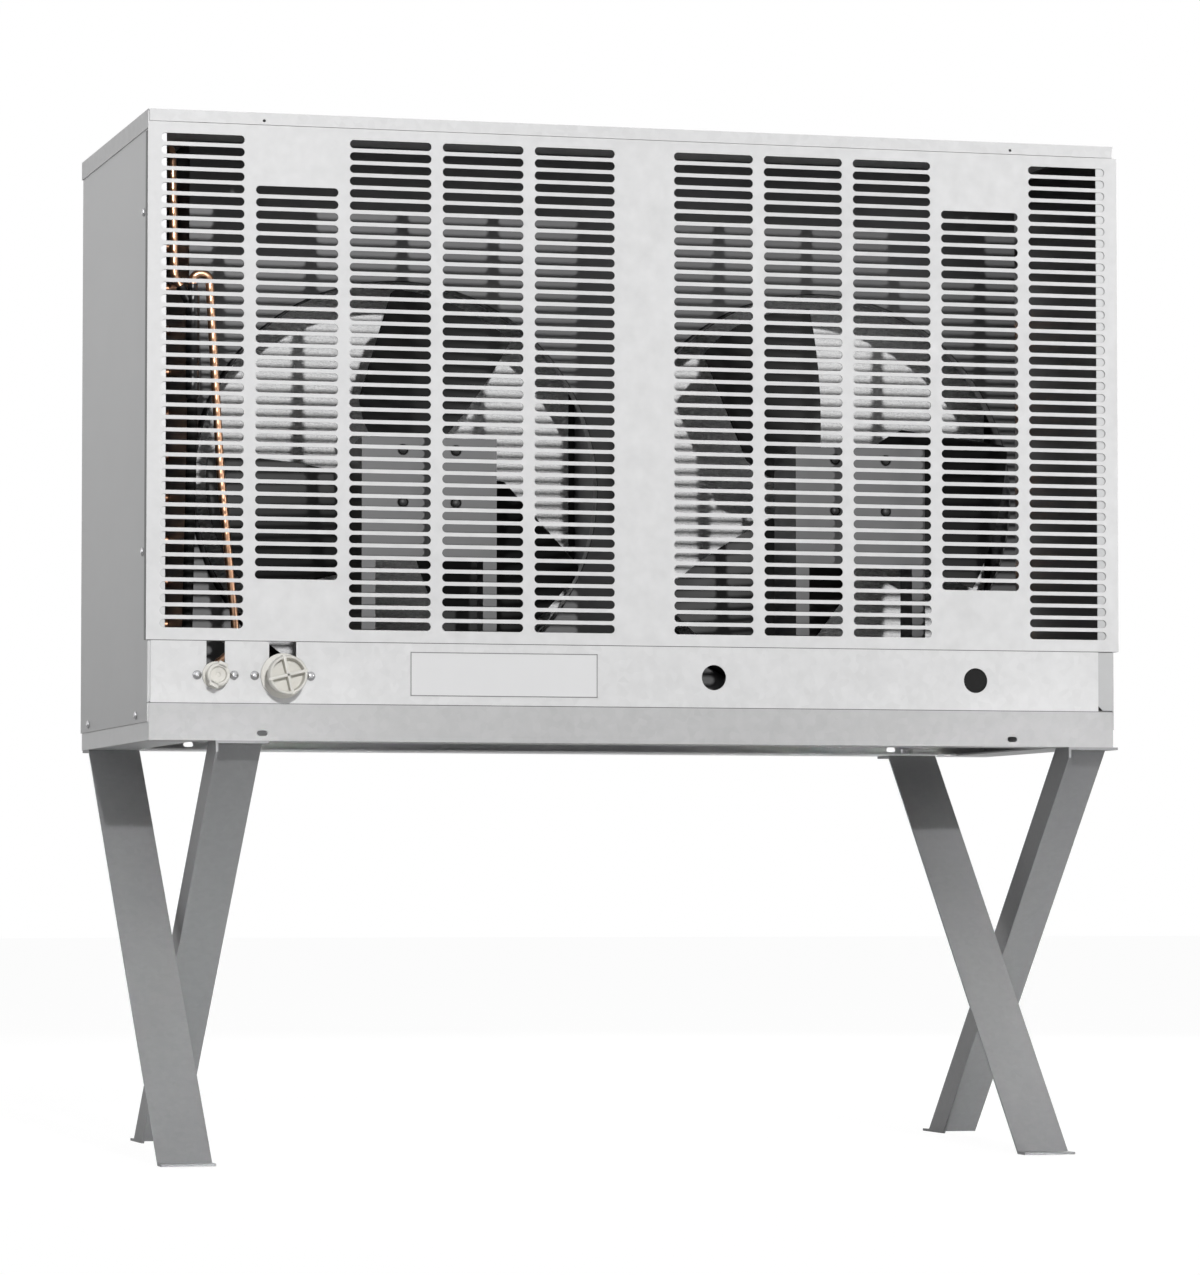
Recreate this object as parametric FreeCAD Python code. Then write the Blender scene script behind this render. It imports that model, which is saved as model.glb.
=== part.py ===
"""Remote condenser: a sheet-metal cabinet with two axial fans drawing air through
a finned coil, refrigerant couplings at the front and crossed sheet-metal legs.

Millimetres. The origin is on the floor below the middle of the cabinet, +Z is up
and the grille faces -Y. Depths are measured back from the grille's outer face.
"""
import FreeCAD
import Part
import math
import os
from FreeCAD import Vector

# Sheet and cabinet
sheet = 1.5
rail_sheet = 2.0
leg_sheet = 3.0
body_depth = 450.0
left_step = 3.5
right_step = 7.5
seam = 0.5

# Levels
leg_rise = 470.0
rail_height = 41.5
panel_lap = 21.0
lid_height = 13.5
lid_skirt = 19.5

# Base rails
rail_foot_flange = 58.0
rail_top_flange = 28.0
rail_slot_spread = 890.0
rail_slot_length = 12.0
rail_slot_width = 6.0
rail_slot_rise = 8.5

# Grille
grille_width = 1155.0
grille_return = 14.0
slot_pitch = 14.0
slot_height = 9.8
slot_length = 95.0
slot_rows = 40
column_web = 13.0
centre_web = 70.6
half_columns = 5
short_column = 4
short_rows = 4
grille_foot_margin = 18.5
grille_head_margin = 17.5

# Side panels and connection panel
return_flange = 18.0
return_chamfer = 6.0
panel_return = 16.0
connection_height = 70.0
coupling_level = 31.0
knockout_radius = 14.5
plug_recess = 0.3
cable_hole_inset = 487.4
plugged_hole_inset = 169.9
knockout_level = 34.5

# Legs
leg_width = 61.0
leg_flange = 40.0
leg_head_inset = 47.0
leg_foot_overhang = 61.0
leg_foot_tab = 24.0
left_leg_inset = 1.0
left_leg_spacing = 75.0
right_leg_inset = 55.0
right_leg_spacing = 87.0
foot_hole_radius = 4.5
foot_hole_place = 41.0
foot_hole_reach = 12.0
leg_bolt_radius = 4.0
leg_bolt_reach = 24.0
leg_bolt_head_radius = 7.0
leg_nut_height = 6.5
leg_nut_across = 13.0

# Fans, shroud and motor brackets
left_bay = 85.2
right_bay = 41.0
left_fan_inset = 245.2
right_fan_inset = 256.0
fan_rise = 261.5
neck_radius = 241.0
neck_front = 200.0
shroud_front = 220.0
neck_bend = 7.0
divider_width = 29.5
divider_shift = 16.2
blade_count = 3
blade_radius = 226.0
blade_sheet = 2.0
blade_pitch = 21.0
blade_camber_radius = 230.0
blade_chord = 200.0
blade_lead = (0.79, 0.80, 0.37)
blade_trail = (0.47, 0.44, 0.37)
blade_root_gap = 0.05
left_fan_turn = 17.0
right_fan_turn = -23.0
hub_radius = 38.0
hub_length = 34.0
shaft_radius = 6.0
shaft_clearance = 0.05
motor_radius = 48.0
motor_length = 78.0
motor_boss_radius = 20.0
motor_boss_length = 8.0
bracket_front = 40.0
bracket_sheet = 2.0
bracket_width = 158.0
bracket_depth = 85.0
bracket_head = 44.0
bracket_window_drop = 95.0
bracket_leg = 16.0
bracket_slope = 8.0
motor_hole_radius = 6.0
motor_hole_spread = 62.0
motor_hole_rise = 60.0

# Coil
coil_depth = 100.0
coil_back_clearance = 40.0
coil_foot_clearance = 5.0
coil_head_clearance = 3.0
coil_tube_radius = 6.0
coil_tube_rows = 12
coil_tube_pitch = 50.0
coil_first_row = 50.0
coil_end_lap = 20.0
coil_bend_straight = 6.0
seal_width = 7.0
seal_sheet = 3.0

# Piping in the left bay
pipe_depth = 110.0
line_radius = 4.8
arch_width = 19.0
arch_bend_radius = 8.9
valve_radius = 8.2
valve_inset = 68.5
valve_foot_rise = 349.0
valve_length = 126.0
valve_neck_radius = 6.0
valve_neck_length = 7.0
valve_port_drop = 22.0
valve_port_reach = 30.0
valve_port_lean = 29.0
riser_inset = 44.0
riser_setback = 20.0
riser_head_drop = 25.0
liquid_knee_shift = 14.0
liquid_knee_drop = 80.0
liquid_tail_shift = 34.0
liquid_tail_rise = 37.0
liquid_tail_setback = 20.0
condensate_radius = 6.0
condensate_inset = 61.0
condensate_shift = 2.0
condensate_tail = 30.0
hose_radius = 7.0
hose_turn_setback = 40.0

# Couplings and dust caps
small_coupling_inset = 75.5
large_coupling_inset = 152.0
small_coupling_radius = 10.0
large_coupling_radius = 15.0
small_coupling_spread = 42.0
large_coupling_spread = 64.0
coupling_flange_sheet = 4.0
coupling_ear = 7.0
notch_clearance = 0.5
small_cap_radius = 13.0
large_cap_radius = 22.0
small_cap_reach = 20.0
large_cap_reach = 34.0
cap_ring_length = 2.7
small_cap_ring = 15.5
large_cap_ring = 25.5
cap_wall_gap = 0.2
cap_face_gap = 0.3
cap_edge = 1.0
small_cap_rim = 4.0
large_cap_rim = 3.5
small_cap_recess = 5.0
large_cap_recess = 11.0
small_cap_lobe_reach = 15.0
small_cap_lobe_width = 11.0
small_cap_lobe_length = 7.0
small_cap_lobe_turn = 65.0
large_cap_rib = 3.5
large_cap_rib_reach = 22.8
large_cap_rib_turn = 14.0
coupling_screw_radius = 2.5
coupling_screw_head = 5.2
coupling_screw_dome = 4.0

# Small fasteners
screw_radius = 2.0
screw_head_radius = 4.8
screw_head_height = 2.6
screw_length = 8.0
low_screw_rise = 170.0
high_screw_rise = 553.0
panel_screw_depth = 34.0
rail_screw_drop = 12.0
rail_screw_front_inset = 72.4
rail_screw_back_inset = 56.4
lid_hole_radius = 1.8
lid_hole_spread = 890.0
motor_bolt_radius = 2.5
motor_bolt_head_radius = 4.5
motor_bolt_head_height = 3.0
motor_bolt_grip = 12.0

# Sides of the round pieces that are made many-sided
fastener_sides = 8
pipe_sides = 8
tube_sides = 6
valve_sides = 12
coupling_sides = 24
plug_sides = 24
cap_sides = 32
drum_sides = 32
neck_sides = 48
bend_chords = 2

# Places across the cabinet, worked out from its width
cabinet_left = left_step - grille_width / 2
cabinet_right = grille_width / 2 - right_step
leg_places = (
    cabinet_left + left_leg_inset,
    cabinet_left + left_leg_inset + left_leg_spacing,
    cabinet_right - right_leg_inset - right_leg_spacing,
    cabinet_right - right_leg_inset,
)
shroud_left = cabinet_left + left_bay
shroud_right = cabinet_right - right_bay
fan_places = (shroud_left + left_fan_inset, shroud_right - right_fan_inset)
divider_left = sum(fan_places) / 2 - divider_shift
divider_right = divider_left + divider_width
valve_place = cabinet_left + valve_inset
riser_place = cabinet_left + riser_inset
condensate_place = cabinet_left + condensate_inset
small_coupling_place = cabinet_left + small_coupling_inset
large_coupling_place = cabinet_left + large_coupling_inset
cable_hole_place = cabinet_right - cable_hole_inset
plugged_hole_place = cabinet_right - plugged_hole_inset

# Levels and planes worked out from the driving sizes
rail_top = leg_rise + rail_height
pan_top = rail_top + sheet
connection_foot = rail_top + seam
grille_foot = connection_foot + connection_height
first_slot_level = grille_foot + grille_foot_margin
grille_top = first_slot_level + (slot_rows - 1) * slot_pitch + grille_head_margin
lid_foot = grille_top + seam
lid_top = lid_foot + lid_height
lid_under = lid_top - sheet
cabinet_back = body_depth
side_foot = rail_top - panel_lap
shroud_back_plane = shroud_front + sheet
shroud_top = lid_under - sheet
fan_level = pan_top + fan_rise
coil_back = cabinet_back - coil_back_clearance
coil_front = coil_back - coil_depth
coil_foot = pan_top + coil_foot_clearance
coil_top = shroud_top - sheet - coil_head_clearance
coil_left = shroud_left + 2 * sheet
coil_right = shroud_right - 2 * sheet
coupling_height = connection_foot + coupling_level
knockout_height = connection_foot + knockout_level
valve_foot_level = pan_top + valve_foot_rise
valve_head_level = valve_foot_level + valve_length
valve_port_level = valve_head_level - valve_port_drop
riser_depth = coil_front + riser_setback
riser_head_level = shroud_top - riser_head_drop
hose_end_level = coupling_height + 6 * hose_radius
small_coupling_back = panel_return + 3 * small_coupling_radius
large_coupling_back = panel_return + 3 * large_coupling_radius


def point(x, depth, z):
    """A place given by its depth behind the grille's outer face."""
    return Vector(x, depth - body_depth / 2, z)


def block(x0, x1, depth0, depth1, z0, z1):
    """A box between two corners."""
    return Part.makeBox(x1 - x0, depth1 - depth0, z1 - z0, point(x0, depth0, z0))


def rod(radius, start, end):
    """A round bar from one place to another."""
    return Part.makeCylinder(radius, (end - start).Length, start, end - start)


def depth_rod(radius, x, z, depth0, depth1):
    """A round bar along the depth."""
    return rod(radius, point(x, depth0, z), point(x, depth1, z))


def polygon(corners):
    """A flat face with straight edges."""
    return Part.Face(Part.makePolygon(corners + corners[:1]))


def prism(corners, along):
    """A flat outline pushed along a vector."""
    return polygon(corners).extrude(along)


def join(pieces):
    """One solid from pieces that touch or overlap."""
    return pieces[0].multiFuse(pieces[1:]).removeSplitter()


def corner_ring(radius, centre, along, sides):
    """The corners of a regular outline square to a direction, with a flat side up."""
    along = Vector(along).normalize()
    upward = Vector(1, 0, 0) if abs(along.z) > abs(along.x) + abs(along.y) else Vector(0, 0, 1)
    across = along.cross(upward).normalize()
    upward = across.cross(along)
    corners = []
    for number in range(sides):
        angle = (number + 0.5) * 2 * math.pi / sides
        corners.append(centre + (across * math.sin(angle) + upward * math.cos(angle)) * radius)
    return corners


def band(ring, following):
    """The flat faces between two rings of as many corners."""
    return [
        polygon([ring[number - 1], ring[number], following[number], following[number - 1]])
        for number in range(len(ring))
    ]


def solid_inside(faces):
    """The solid that closed faces bound, right side out."""
    solid = Part.Solid(Part.Shell(faces))
    if solid.Volume < 0:
        solid.reverse()
    return solid


def skin(rings):
    """A closed solid over a row of rings that have the same number of corners."""
    faces = [polygon(rings[0]), polygon(rings[-1])]
    for ring, following in zip(rings, rings[1:]):
        faces += band(ring, following)
    return solid_inside(faces)


def hoop(start, along, section, sides):
    """A many-sided ring: each corner of its section is a distance along the axis and a radius."""
    along = Vector(along).normalize()
    rings = [corner_ring(radius, start + along * reach, along, sides) for reach, radius in section]
    faces = []
    for number, ring in enumerate(rings):
        faces += band(rings[number - 1], ring)
    return solid_inside(faces)


def turned(start, along, profile, sides=fastener_sides):
    """A many-sided turned piece: each step of its profile is a distance along the axis and a radius."""
    along = Vector(along).normalize()
    return skin([corner_ring(radius, start + along * reach, along, sides) for reach, radius in profile])


def bar(radius, start, end, sides=fastener_sides):
    """A many-sided straight bar."""
    return turned(start, end - start, [(0, radius), ((end - start).Length, radius)], sides)


def depth_bar(radius, x, z, depth0, depth1, sides=fastener_sides):
    """A many-sided bar along the depth."""
    return bar(radius, point(x, depth0, z), point(x, depth1, z), sides)


def bend_path(route, bend_radius):
    """The middle line of a pipe: the route with each corner rounded by a few chords."""
    path = [route[0]]
    least = seam / 10

    def add(place):
        if (place - path[-1]).Length > least:
            path.append(place)

    for before, corner, after in zip(route, route[1:], route[2:]):
        into = (corner - before).normalize()
        out = (after - corner).normalize()
        turn = into.getAngle(out)
        outward = (into - out).normalize()
        centre = corner - outward * (bend_radius / math.cos(turn / 2))
        along = (into + out).normalize()
        for step in range(bend_chords + 1):
            angle = turn * (step / bend_chords - 0.5)
            add(centre + (outward * math.cos(angle) + along * math.sin(angle)) * bend_radius)
    add(route[-1])
    return path


def pipe(radius, route, bend_radius, sides=pipe_sides):
    """A many-sided pipe whose flat sides meet in a mitre at each turn of its path."""
    path = bend_path(route, bend_radius)
    runs = [(after - before).normalize() for before, after in zip(path, path[1:])]
    squares = [into + out for into, out in zip(runs, runs[1:])] + [route[-1] - route[-2]]
    rings = [corner_ring(radius, path[0], route[1] - route[0], sides)]
    for here, into, square in zip(path[1:], runs, squares):
        reaches = [(here - corner).dot(square) / into.dot(square) for corner in rings[-1]]
        rings.append([corner + into * reach for corner, reach in zip(rings[-1], reaches)])
    return skin(rings)


def save(node, shape):
    """Write one sub-part's file."""
    shape.exportStep(os.path.join("parts", node + ".step"))


# Base frame

def rail_slots(depth0, depth1):
    """The oblong holes near both ends of a long rail."""
    level = leg_rise + rail_slot_rise
    half = (rail_slot_length - rail_slot_width) / 2
    cuts = []
    for side in (-1, 1):
        x = side * rail_slot_spread / 2
        radius = rail_slot_width / 2
        cuts.append(block(x - half, x + half, depth0, depth1, level - radius, level + radius))
        cuts.append(depth_rod(radius, x - half, level, depth0, depth1))
        cuts.append(depth_rod(radius, x + half, level, depth0, depth1))
    return join(cuts[:3]), join(cuts[3:])


def long_rail(outer, inward):
    """A channel along the front or the back, opening into the frame."""
    left = cabinet_left + rail_sheet
    right = cabinet_right - rail_sheet
    web = sorted((outer, outer + inward * rail_sheet))
    foot = sorted((outer, outer + inward * rail_foot_flange))
    head = sorted((outer, outer + inward * rail_top_flange))
    rail = join([
        block(cabinet_left, cabinet_right, web[0], web[1], leg_rise, rail_top),
        block(left, right, foot[0], foot[1], leg_rise, leg_rise + rail_sheet),
        block(left, right, head[0], head[1], rail_top - rail_sheet, rail_top),
    ])
    for cut in rail_slots(*web):
        rail = rail.cut(cut)
    for x, depth in leg_bolt_places():
        seat = point(x, depth, leg_rise)
        rail = rail.cut(bar(leg_bolt_radius, seat, seat + Vector(0, 0, rail_sheet)))
    return rail


def side_rail(outer, inward):
    """A channel between the long rails at one side."""
    web = sorted((outer, outer + inward * rail_sheet))
    foot = sorted((outer, outer + inward * rail_foot_flange))
    head = sorted((outer, outer + inward * rail_top_flange))
    back = cabinet_back - rail_sheet
    rail = join([
        block(web[0], web[1], rail_sheet, back, leg_rise, rail_top),
        block(foot[0], foot[1], rail_foot_flange, cabinet_back - rail_foot_flange,
              leg_rise, leg_rise + rail_sheet),
        block(head[0], head[1], rail_top_flange, cabinet_back - rail_top_flange,
              rail_top - rail_sheet, rail_top),
    ])
    return rail.cut(panel_screw_shanks(outer, -inward))


def base_pan():
    """The flat tray that closes the frame and carries what stands inside."""
    return block(cabinet_left, cabinet_right, 2 * sheet, cabinet_back - 2 * sheet, rail_top, pan_top)


# Legs

def leg_bolt_places():
    """Sideways place and depth of the bolt in each leg's head tab."""
    depths = (cabinet_back - leg_bolt_reach, leg_bolt_reach)
    return [(x + leg_width / 2, depths[number % 2]) for number, x in enumerate(leg_places)]


def leg_bolt(seat, reach):
    """A countersunk bolt: its head fills the leg's tab below the seat, its shank stands above it."""
    profile = [(-leg_sheet, leg_bolt_head_radius), (0, leg_bolt_radius), (reach, leg_bolt_radius)]
    return turned(seat, Vector(0, 0, 1), profile if reach else profile[:2])


def leg_solid():
    """A leg with its foot at the front: a sloping web with a side flange and two end tabs."""
    half = body_depth / 2
    foot = -half - leg_foot_overhang
    head = half - leg_head_inset
    rise = leg_rise - 2 * leg_sheet
    slope = (head - foot) / rise
    lean = math.hypot(1, slope)
    inner = leg_sheet * lean
    edge = leg_flange * lean

    def corner(y, z):
        return Vector(0, y, z)

    web = prism([
        corner(foot - leg_foot_tab, 0),
        corner(foot - leg_foot_tab, leg_sheet),
        corner(foot, leg_sheet),
        corner(head + slope * leg_sheet, leg_rise),
        corner(half, leg_rise),
        corner(half, leg_rise - leg_sheet),
        corner(head + inner, leg_rise - leg_sheet),
        corner(foot - slope * leg_sheet + inner, 0),
    ], Vector(leg_width, 0, 0))
    far_level = leg_rise - leg_sheet - (head + edge - half) / slope
    flange = prism([
        corner(foot - slope * leg_sheet + inner, 0),
        corner(head + inner, leg_rise - leg_sheet),
        corner(half, leg_rise - leg_sheet),
        corner(half, far_level),
        corner(foot - slope * leg_sheet + edge, 0),
    ], Vector(leg_sheet, 0, 0))
    flange.translate(Vector(leg_width - leg_sheet, 0, 0))
    leg = join([web, flange])
    foot_hole = Vector(foot_hole_place, foot - foot_hole_reach, 0)
    leg = leg.cut(rod(foot_hole_radius, foot_hole, foot_hole + Vector(0, 0, leg_sheet)))
    head_hole = Vector(leg_width / 2, half - leg_bolt_reach, leg_rise)
    return leg.cut(leg_bolt(head_hole, 0))


def legs():
    """Two crossed pairs, each leg the same pressing, turned about for a foot at the back."""
    shapes = []
    for number, x in enumerate(leg_places):
        leg = leg_solid()
        if number % 2:
            leg.rotate(Vector(leg_width / 2, 0, 0), Vector(0, 0, 1), 180)
        leg.translate(Vector(x, 0, 0))
        shapes.append(leg)
    return shapes


def leg_bolts():
    """A countersunk bolt up through each head tab and rail."""
    reach = rail_sheet + leg_nut_height
    return Part.makeCompound([leg_bolt(point(x, depth, leg_rise), reach) for x, depth in leg_bolt_places()])


def leg_nuts():
    """A hexagon nut on the rail above each leg bolt."""
    nuts = []
    for x, depth in leg_bolt_places():
        seat = point(x, depth, leg_rise + rail_sheet)
        head = seat + Vector(0, 0, leg_nut_height)
        nut = bar(leg_nut_across / math.sqrt(3), seat, head, 6)
        nuts.append(nut.cut(bar(leg_bolt_radius, seat, head)))
    return Part.makeCompound(nuts)


# Cabinet panels

def side_panel(inner, outward):
    """A plain side with flanges turned in at the front, the back and the top."""
    plate = sorted((inner, inner + outward * sheet))
    turned = sorted((inner, inner - outward * return_flange))
    panel = join([
        block(plate[0], plate[1], sheet, cabinet_back, side_foot, lid_under),
        block(turned[0], turned[1], sheet, 2 * sheet, pan_top, lid_under),
        block(turned[0], turned[1], cabinet_back - sheet, cabinet_back, pan_top, lid_under),
        block(turned[0], turned[1], sheet, cabinet_back, lid_under - sheet, lid_under),
    ])
    tip = inner - outward * return_flange
    chamfer = prism([
        point(tip, sheet, pan_top),
        point(tip + outward * return_chamfer, sheet, pan_top),
        point(tip, sheet, pan_top + return_chamfer),
    ], Vector(0, sheet, 0))
    return panel.cut(chamfer).cut(panel_screw_shanks(inner, outward))


def panel_screw_places():
    """Depth and height of the screws in each side panel."""
    rail_level = rail_top - rail_screw_drop
    return [
        (panel_screw_depth, pan_top + low_screw_rise),
        (panel_screw_depth, pan_top + high_screw_rise),
        (rail_screw_front_inset, rail_level),
        (cabinet_back - rail_screw_back_inset, rail_level),
    ]


def panel_screw_shanks(inner, outward):
    """The screws' shanks through one side panel and into what lies behind it."""
    shanks = []
    for depth, level in panel_screw_places():
        seat = point(inner + outward * sheet, depth, level)
        shanks.append(bar(screw_radius, seat - Vector(outward * screw_length, 0, 0), seat))
    return Part.makeCompound(shanks)


def screw_profile(head_radius, head_height, radius, length):
    """A domed head above the seat and a plain shank below it."""
    return [
        (-length, radius),
        (0, radius),
        (0, head_radius),
        (head_height / 2, head_radius * 0.92),
        (head_height, head_radius * 0.55),
    ]


def panel_screws():
    """Pan-head screws that hold both side panels."""
    profile = screw_profile(screw_head_radius, screw_head_height, screw_radius, screw_length)
    screws = []
    for inner, outward in ((cabinet_left, -1), (cabinet_right, 1)):
        for depth, level in panel_screw_places():
            seat = point(inner + outward * sheet, depth, level)
            screws.append(turned(seat, Vector(outward, 0, 0), profile))
    return Part.makeCompound(screws)


def lid_holes():
    """Screw holes near both ends of the lid's front flange."""
    level = lid_foot + lid_height / 3
    return Part.makeCompound([
        depth_bar(lid_hole_radius, side * lid_hole_spread / 2, level, 0, sheet)
        for side in (-1, 1)
    ])


def top_cover():
    """The lid: a flat top with a front and a rear flange and a longer skirt each side."""
    left = cabinet_left - sheet
    right = cabinet_right + sheet
    skirt_foot = lid_top - lid_skirt - sheet
    lid_back = cabinet_back + sheet
    return join([
        block(left - sheet, right + sheet, 0, lid_back, lid_under, lid_top),
        block(left, right, 0, sheet, lid_foot, lid_under),
        block(left, right, cabinet_back, lid_back, skirt_foot, lid_under),
        block(left - sheet, left, 2 * sheet, lid_back, skirt_foot, lid_under),
        block(right, right + sheet, 2 * sheet, lid_back, skirt_foot, lid_under),
    ]).cut(lid_holes())


def slot_columns():
    """Centre of each column of slots, with its first and last row."""
    first = centre_web / 2 + slot_length / 2
    for side in (-1, 1):
        for number in range(half_columns):
            x = side * (first + number * (slot_length + column_web))
            skipped = short_rows if number == short_column - 1 else 0
            yield x, skipped, slot_rows - skipped


def front_grille():
    """The punched grille with its turned edges."""
    half = grille_width / 2
    edge = cabinet_left + return_flange + sheet
    far_edge = cabinet_right - return_flange - sheet
    side_top = lid_top - lid_skirt - 2 * sheet
    grille = join([
        block(-half, half, 0, sheet, grille_foot, grille_top),
        block(-half, sheet - half, sheet, grille_return, grille_foot, side_top),
        block(half - sheet, half, sheet, grille_return, grille_foot, side_top),
        block(edge, far_edge, sheet, grille_return, grille_top - sheet, grille_top),
        block(edge, far_edge, sheet, grille_return, grille_foot, grille_foot + sheet),
    ])
    slots = []
    for x, first_row, last_row in slot_columns():
        for row in range(first_row, last_row):
            level = first_slot_level + row * slot_pitch
            slots.append(block(x - slot_length / 2, x + slot_length / 2, -sheet, 2 * sheet,
                               level - slot_height / 2, level + slot_height / 2))
    return grille.cut(Part.makeCompound(slots))


def hole_plug():
    """The rubber disc that blanks the second cable hole."""
    return depth_bar(knockout_radius, plugged_hole_place, knockout_height, plug_recess, sheet, plug_sides)


def coupling_notch(x, radius):
    """An open-topped notch that a coupling drops into."""
    reach = radius + notch_clearance
    top = grille_foot
    return join([
        depth_bar(reach, x, coupling_height, -sheet, panel_return + sheet, coupling_sides),
        block(x - reach, x + reach, -sheet, panel_return + sheet, coupling_height, top),
    ])


def connection_panel():
    """The plate below the grille, with two coupling notches and two knock-out holes."""
    left = cabinet_left + rail_sheet
    right = cabinet_right - return_flange
    top = grille_foot - seam
    inner_left = cabinet_left + return_flange + sheet
    inner_right = right - sheet
    panel = join([
        block(left, right, 0, sheet, connection_foot, top),
        block(inner_left, inner_right, sheet, panel_return, pan_top, pan_top + sheet),
        block(inner_left, inner_right, sheet, panel_return, top - sheet, top),
    ])
    panel = panel.cut(depth_rod(knockout_radius, cable_hole_place, knockout_height, 0, sheet))
    panel = panel.cut(depth_bar(knockout_radius, plugged_hole_place, knockout_height, 0, sheet, plug_sides))
    panel = panel.cut(coupling_notch(small_coupling_place, small_coupling_radius))
    panel = panel.cut(coupling_notch(large_coupling_place, large_coupling_radius))
    for place in coupling_screw_places():
        panel = panel.cut(depth_bar(coupling_screw_radius, place, coupling_height, 0, sheet))
    return panel


# Fan section

def neck_section():
    """The drawn lip round a fan opening: the depth and radius of its section's corners."""
    inner = neck_radius
    outer = neck_radius + sheet
    bend_end = shroud_front - neck_bend
    root = outer + neck_bend
    return [
        (neck_front, inner),
        (neck_front, outer),
        (bend_end, outer),
        (shroud_front, root),
        (shroud_back_plane, root),
        (bend_end, inner),
    ]


def fan_neck(x):
    """One drawn lip, turned about its fan's axis."""
    lip = hoop(point(x, 0, fan_level), Vector(0, 1, 0), neck_section(), neck_sides)
    return lip.common(block(shroud_left, shroud_right, neck_front, shroud_back_plane, pan_top, shroud_top))


def fan_shroud():
    """The box in front of the coil, with a drawn opening for each fan."""
    walls_back = coil_front - seam
    lap_back = coil_front + coil_end_lap
    plate = block(shroud_left, shroud_right, shroud_front, shroud_back_plane, pan_top, shroud_top)
    root = neck_radius + sheet + neck_bend
    for x in fan_places:
        plate = plate.cut(depth_bar(root, x, fan_level, shroud_front, shroud_back_plane, neck_sides))
    return join([
        plate,
        block(shroud_left, shroud_left + sheet, shroud_back_plane, lap_back, pan_top, shroud_top),
        block(shroud_right - sheet, shroud_right, shroud_back_plane, lap_back, pan_top, shroud_top),
        block(shroud_left, shroud_right, shroud_back_plane, walls_back, pan_top, pan_top + sheet),
        block(shroud_left, shroud_right, shroud_back_plane, walls_back, shroud_top - sheet, shroud_top),
    ] + [fan_neck(x) for x in fan_places])


def divider():
    """A channel between the two fans, from the shroud to the coil."""
    foot = pan_top + sheet
    head = shroud_top - sheet
    back = coil_front
    return join([
        block(divider_left, divider_left + sheet, shroud_back_plane, back, foot, head),
        block(divider_right - sheet, divider_right, shroud_back_plane, back, foot, head),
        block(divider_left, divider_right, back - sheet, back, foot, head),
    ])


def bracket_section_corners(x):
    """The bracket's side seen from the left: its top falls back from the front plate."""
    top = fan_level + bracket_head
    back = bracket_front + bracket_depth
    return [
        point(x, bracket_front, pan_top),
        point(x, bracket_front, top),
        point(x, back, top - bracket_slope),
        point(x, back, pan_top),
    ]


def motor_hole_places(x):
    """Sideways place and height of the four motor fixings."""
    for side in (-1, 1):
        for end in (-1, 1):
            yield x + side * motor_hole_spread / 2, fan_level + end * motor_hole_rise / 2


def motor_bracket(x):
    """A folded stand: a front plate with a window between two side flanges."""
    left = x - bracket_width / 2
    right = x + bracket_width / 2
    back = bracket_front + bracket_sheet
    top = fan_level + bracket_head
    plate = block(left, right, bracket_front, back, pan_top, top)
    window = block(left + bracket_leg, right - bracket_leg, bracket_front, back,
                   pan_top + bracket_leg, fan_level - bracket_window_drop)
    plate = plate.cut(window)
    for hole_x, hole_z in motor_hole_places(x):
        plate = plate.cut(depth_bar(motor_hole_radius, hole_x, hole_z, bracket_front, back))
    thickness = Vector(bracket_sheet, 0, 0)
    return join([
        plate,
        prism(bracket_section_corners(left), thickness),
        prism(bracket_section_corners(right - bracket_sheet), thickness),
    ])


def motor_grommets():
    """Rubber bushes in the bracket holes, round the motor bolts."""
    bushes = []
    back = bracket_front + bracket_sheet
    for x in fan_places:
        for hole_x, hole_z in motor_hole_places(x):
            bush = depth_bar(motor_hole_radius, hole_x, hole_z, bracket_front, back)
            bushes.append(bush.cut(depth_bar(motor_bolt_radius, hole_x, hole_z, bracket_front, back)))
    return Part.makeCompound(bushes)


def motor_bolts():
    """Bolts through the bushes into the motors' faces."""
    profile = screw_profile(motor_bolt_head_radius, motor_bolt_head_height,
                            motor_bolt_radius, motor_bolt_grip)
    bolts = []
    for x in fan_places:
        for hole_x, hole_z in motor_hole_places(x):
            bolts.append(turned(point(hole_x, bracket_front, hole_z), Vector(0, -1, 0), profile))
    return Part.makeCompound(bolts)


def motor(x):
    """A round motor behind its bracket, with a bearing boss at the fan's side."""
    front = bracket_front + bracket_sheet
    back = front + motor_length
    body = join([
        depth_bar(motor_radius, x, fan_level, front, back, drum_sides),
        depth_bar(motor_boss_radius, x, fan_level, back, back + motor_boss_length, drum_sides),
    ])
    bore_radius = shaft_radius + shaft_clearance
    bore_front = (front + back) / 2
    body = body.cut(depth_rod(bore_radius, x, fan_level, bore_front, back + motor_boss_length))
    for hole_x, hole_z in motor_hole_places(x):
        body = body.cut(depth_bar(motor_bolt_radius, hole_x, hole_z, front, bracket_front + motor_bolt_grip))
    return body


def fan_shaft(x):
    """The motor shaft that the hub is pressed on."""
    front = bracket_front + bracket_sheet + motor_length / 2 + seam
    back = neck_front + hub_length / 2
    return depth_rod(shaft_radius, x, fan_level, front, back)


def fan_hub(x):
    """The hub that carries the blades, bored for the shaft."""
    front = neck_front - hub_length / 2
    back = neck_front + hub_length / 2
    hub = depth_bar(hub_radius, x, fan_level, front, back, drum_sides)
    return hub.cut(depth_rod(shaft_radius, x, fan_level, front, back))


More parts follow.
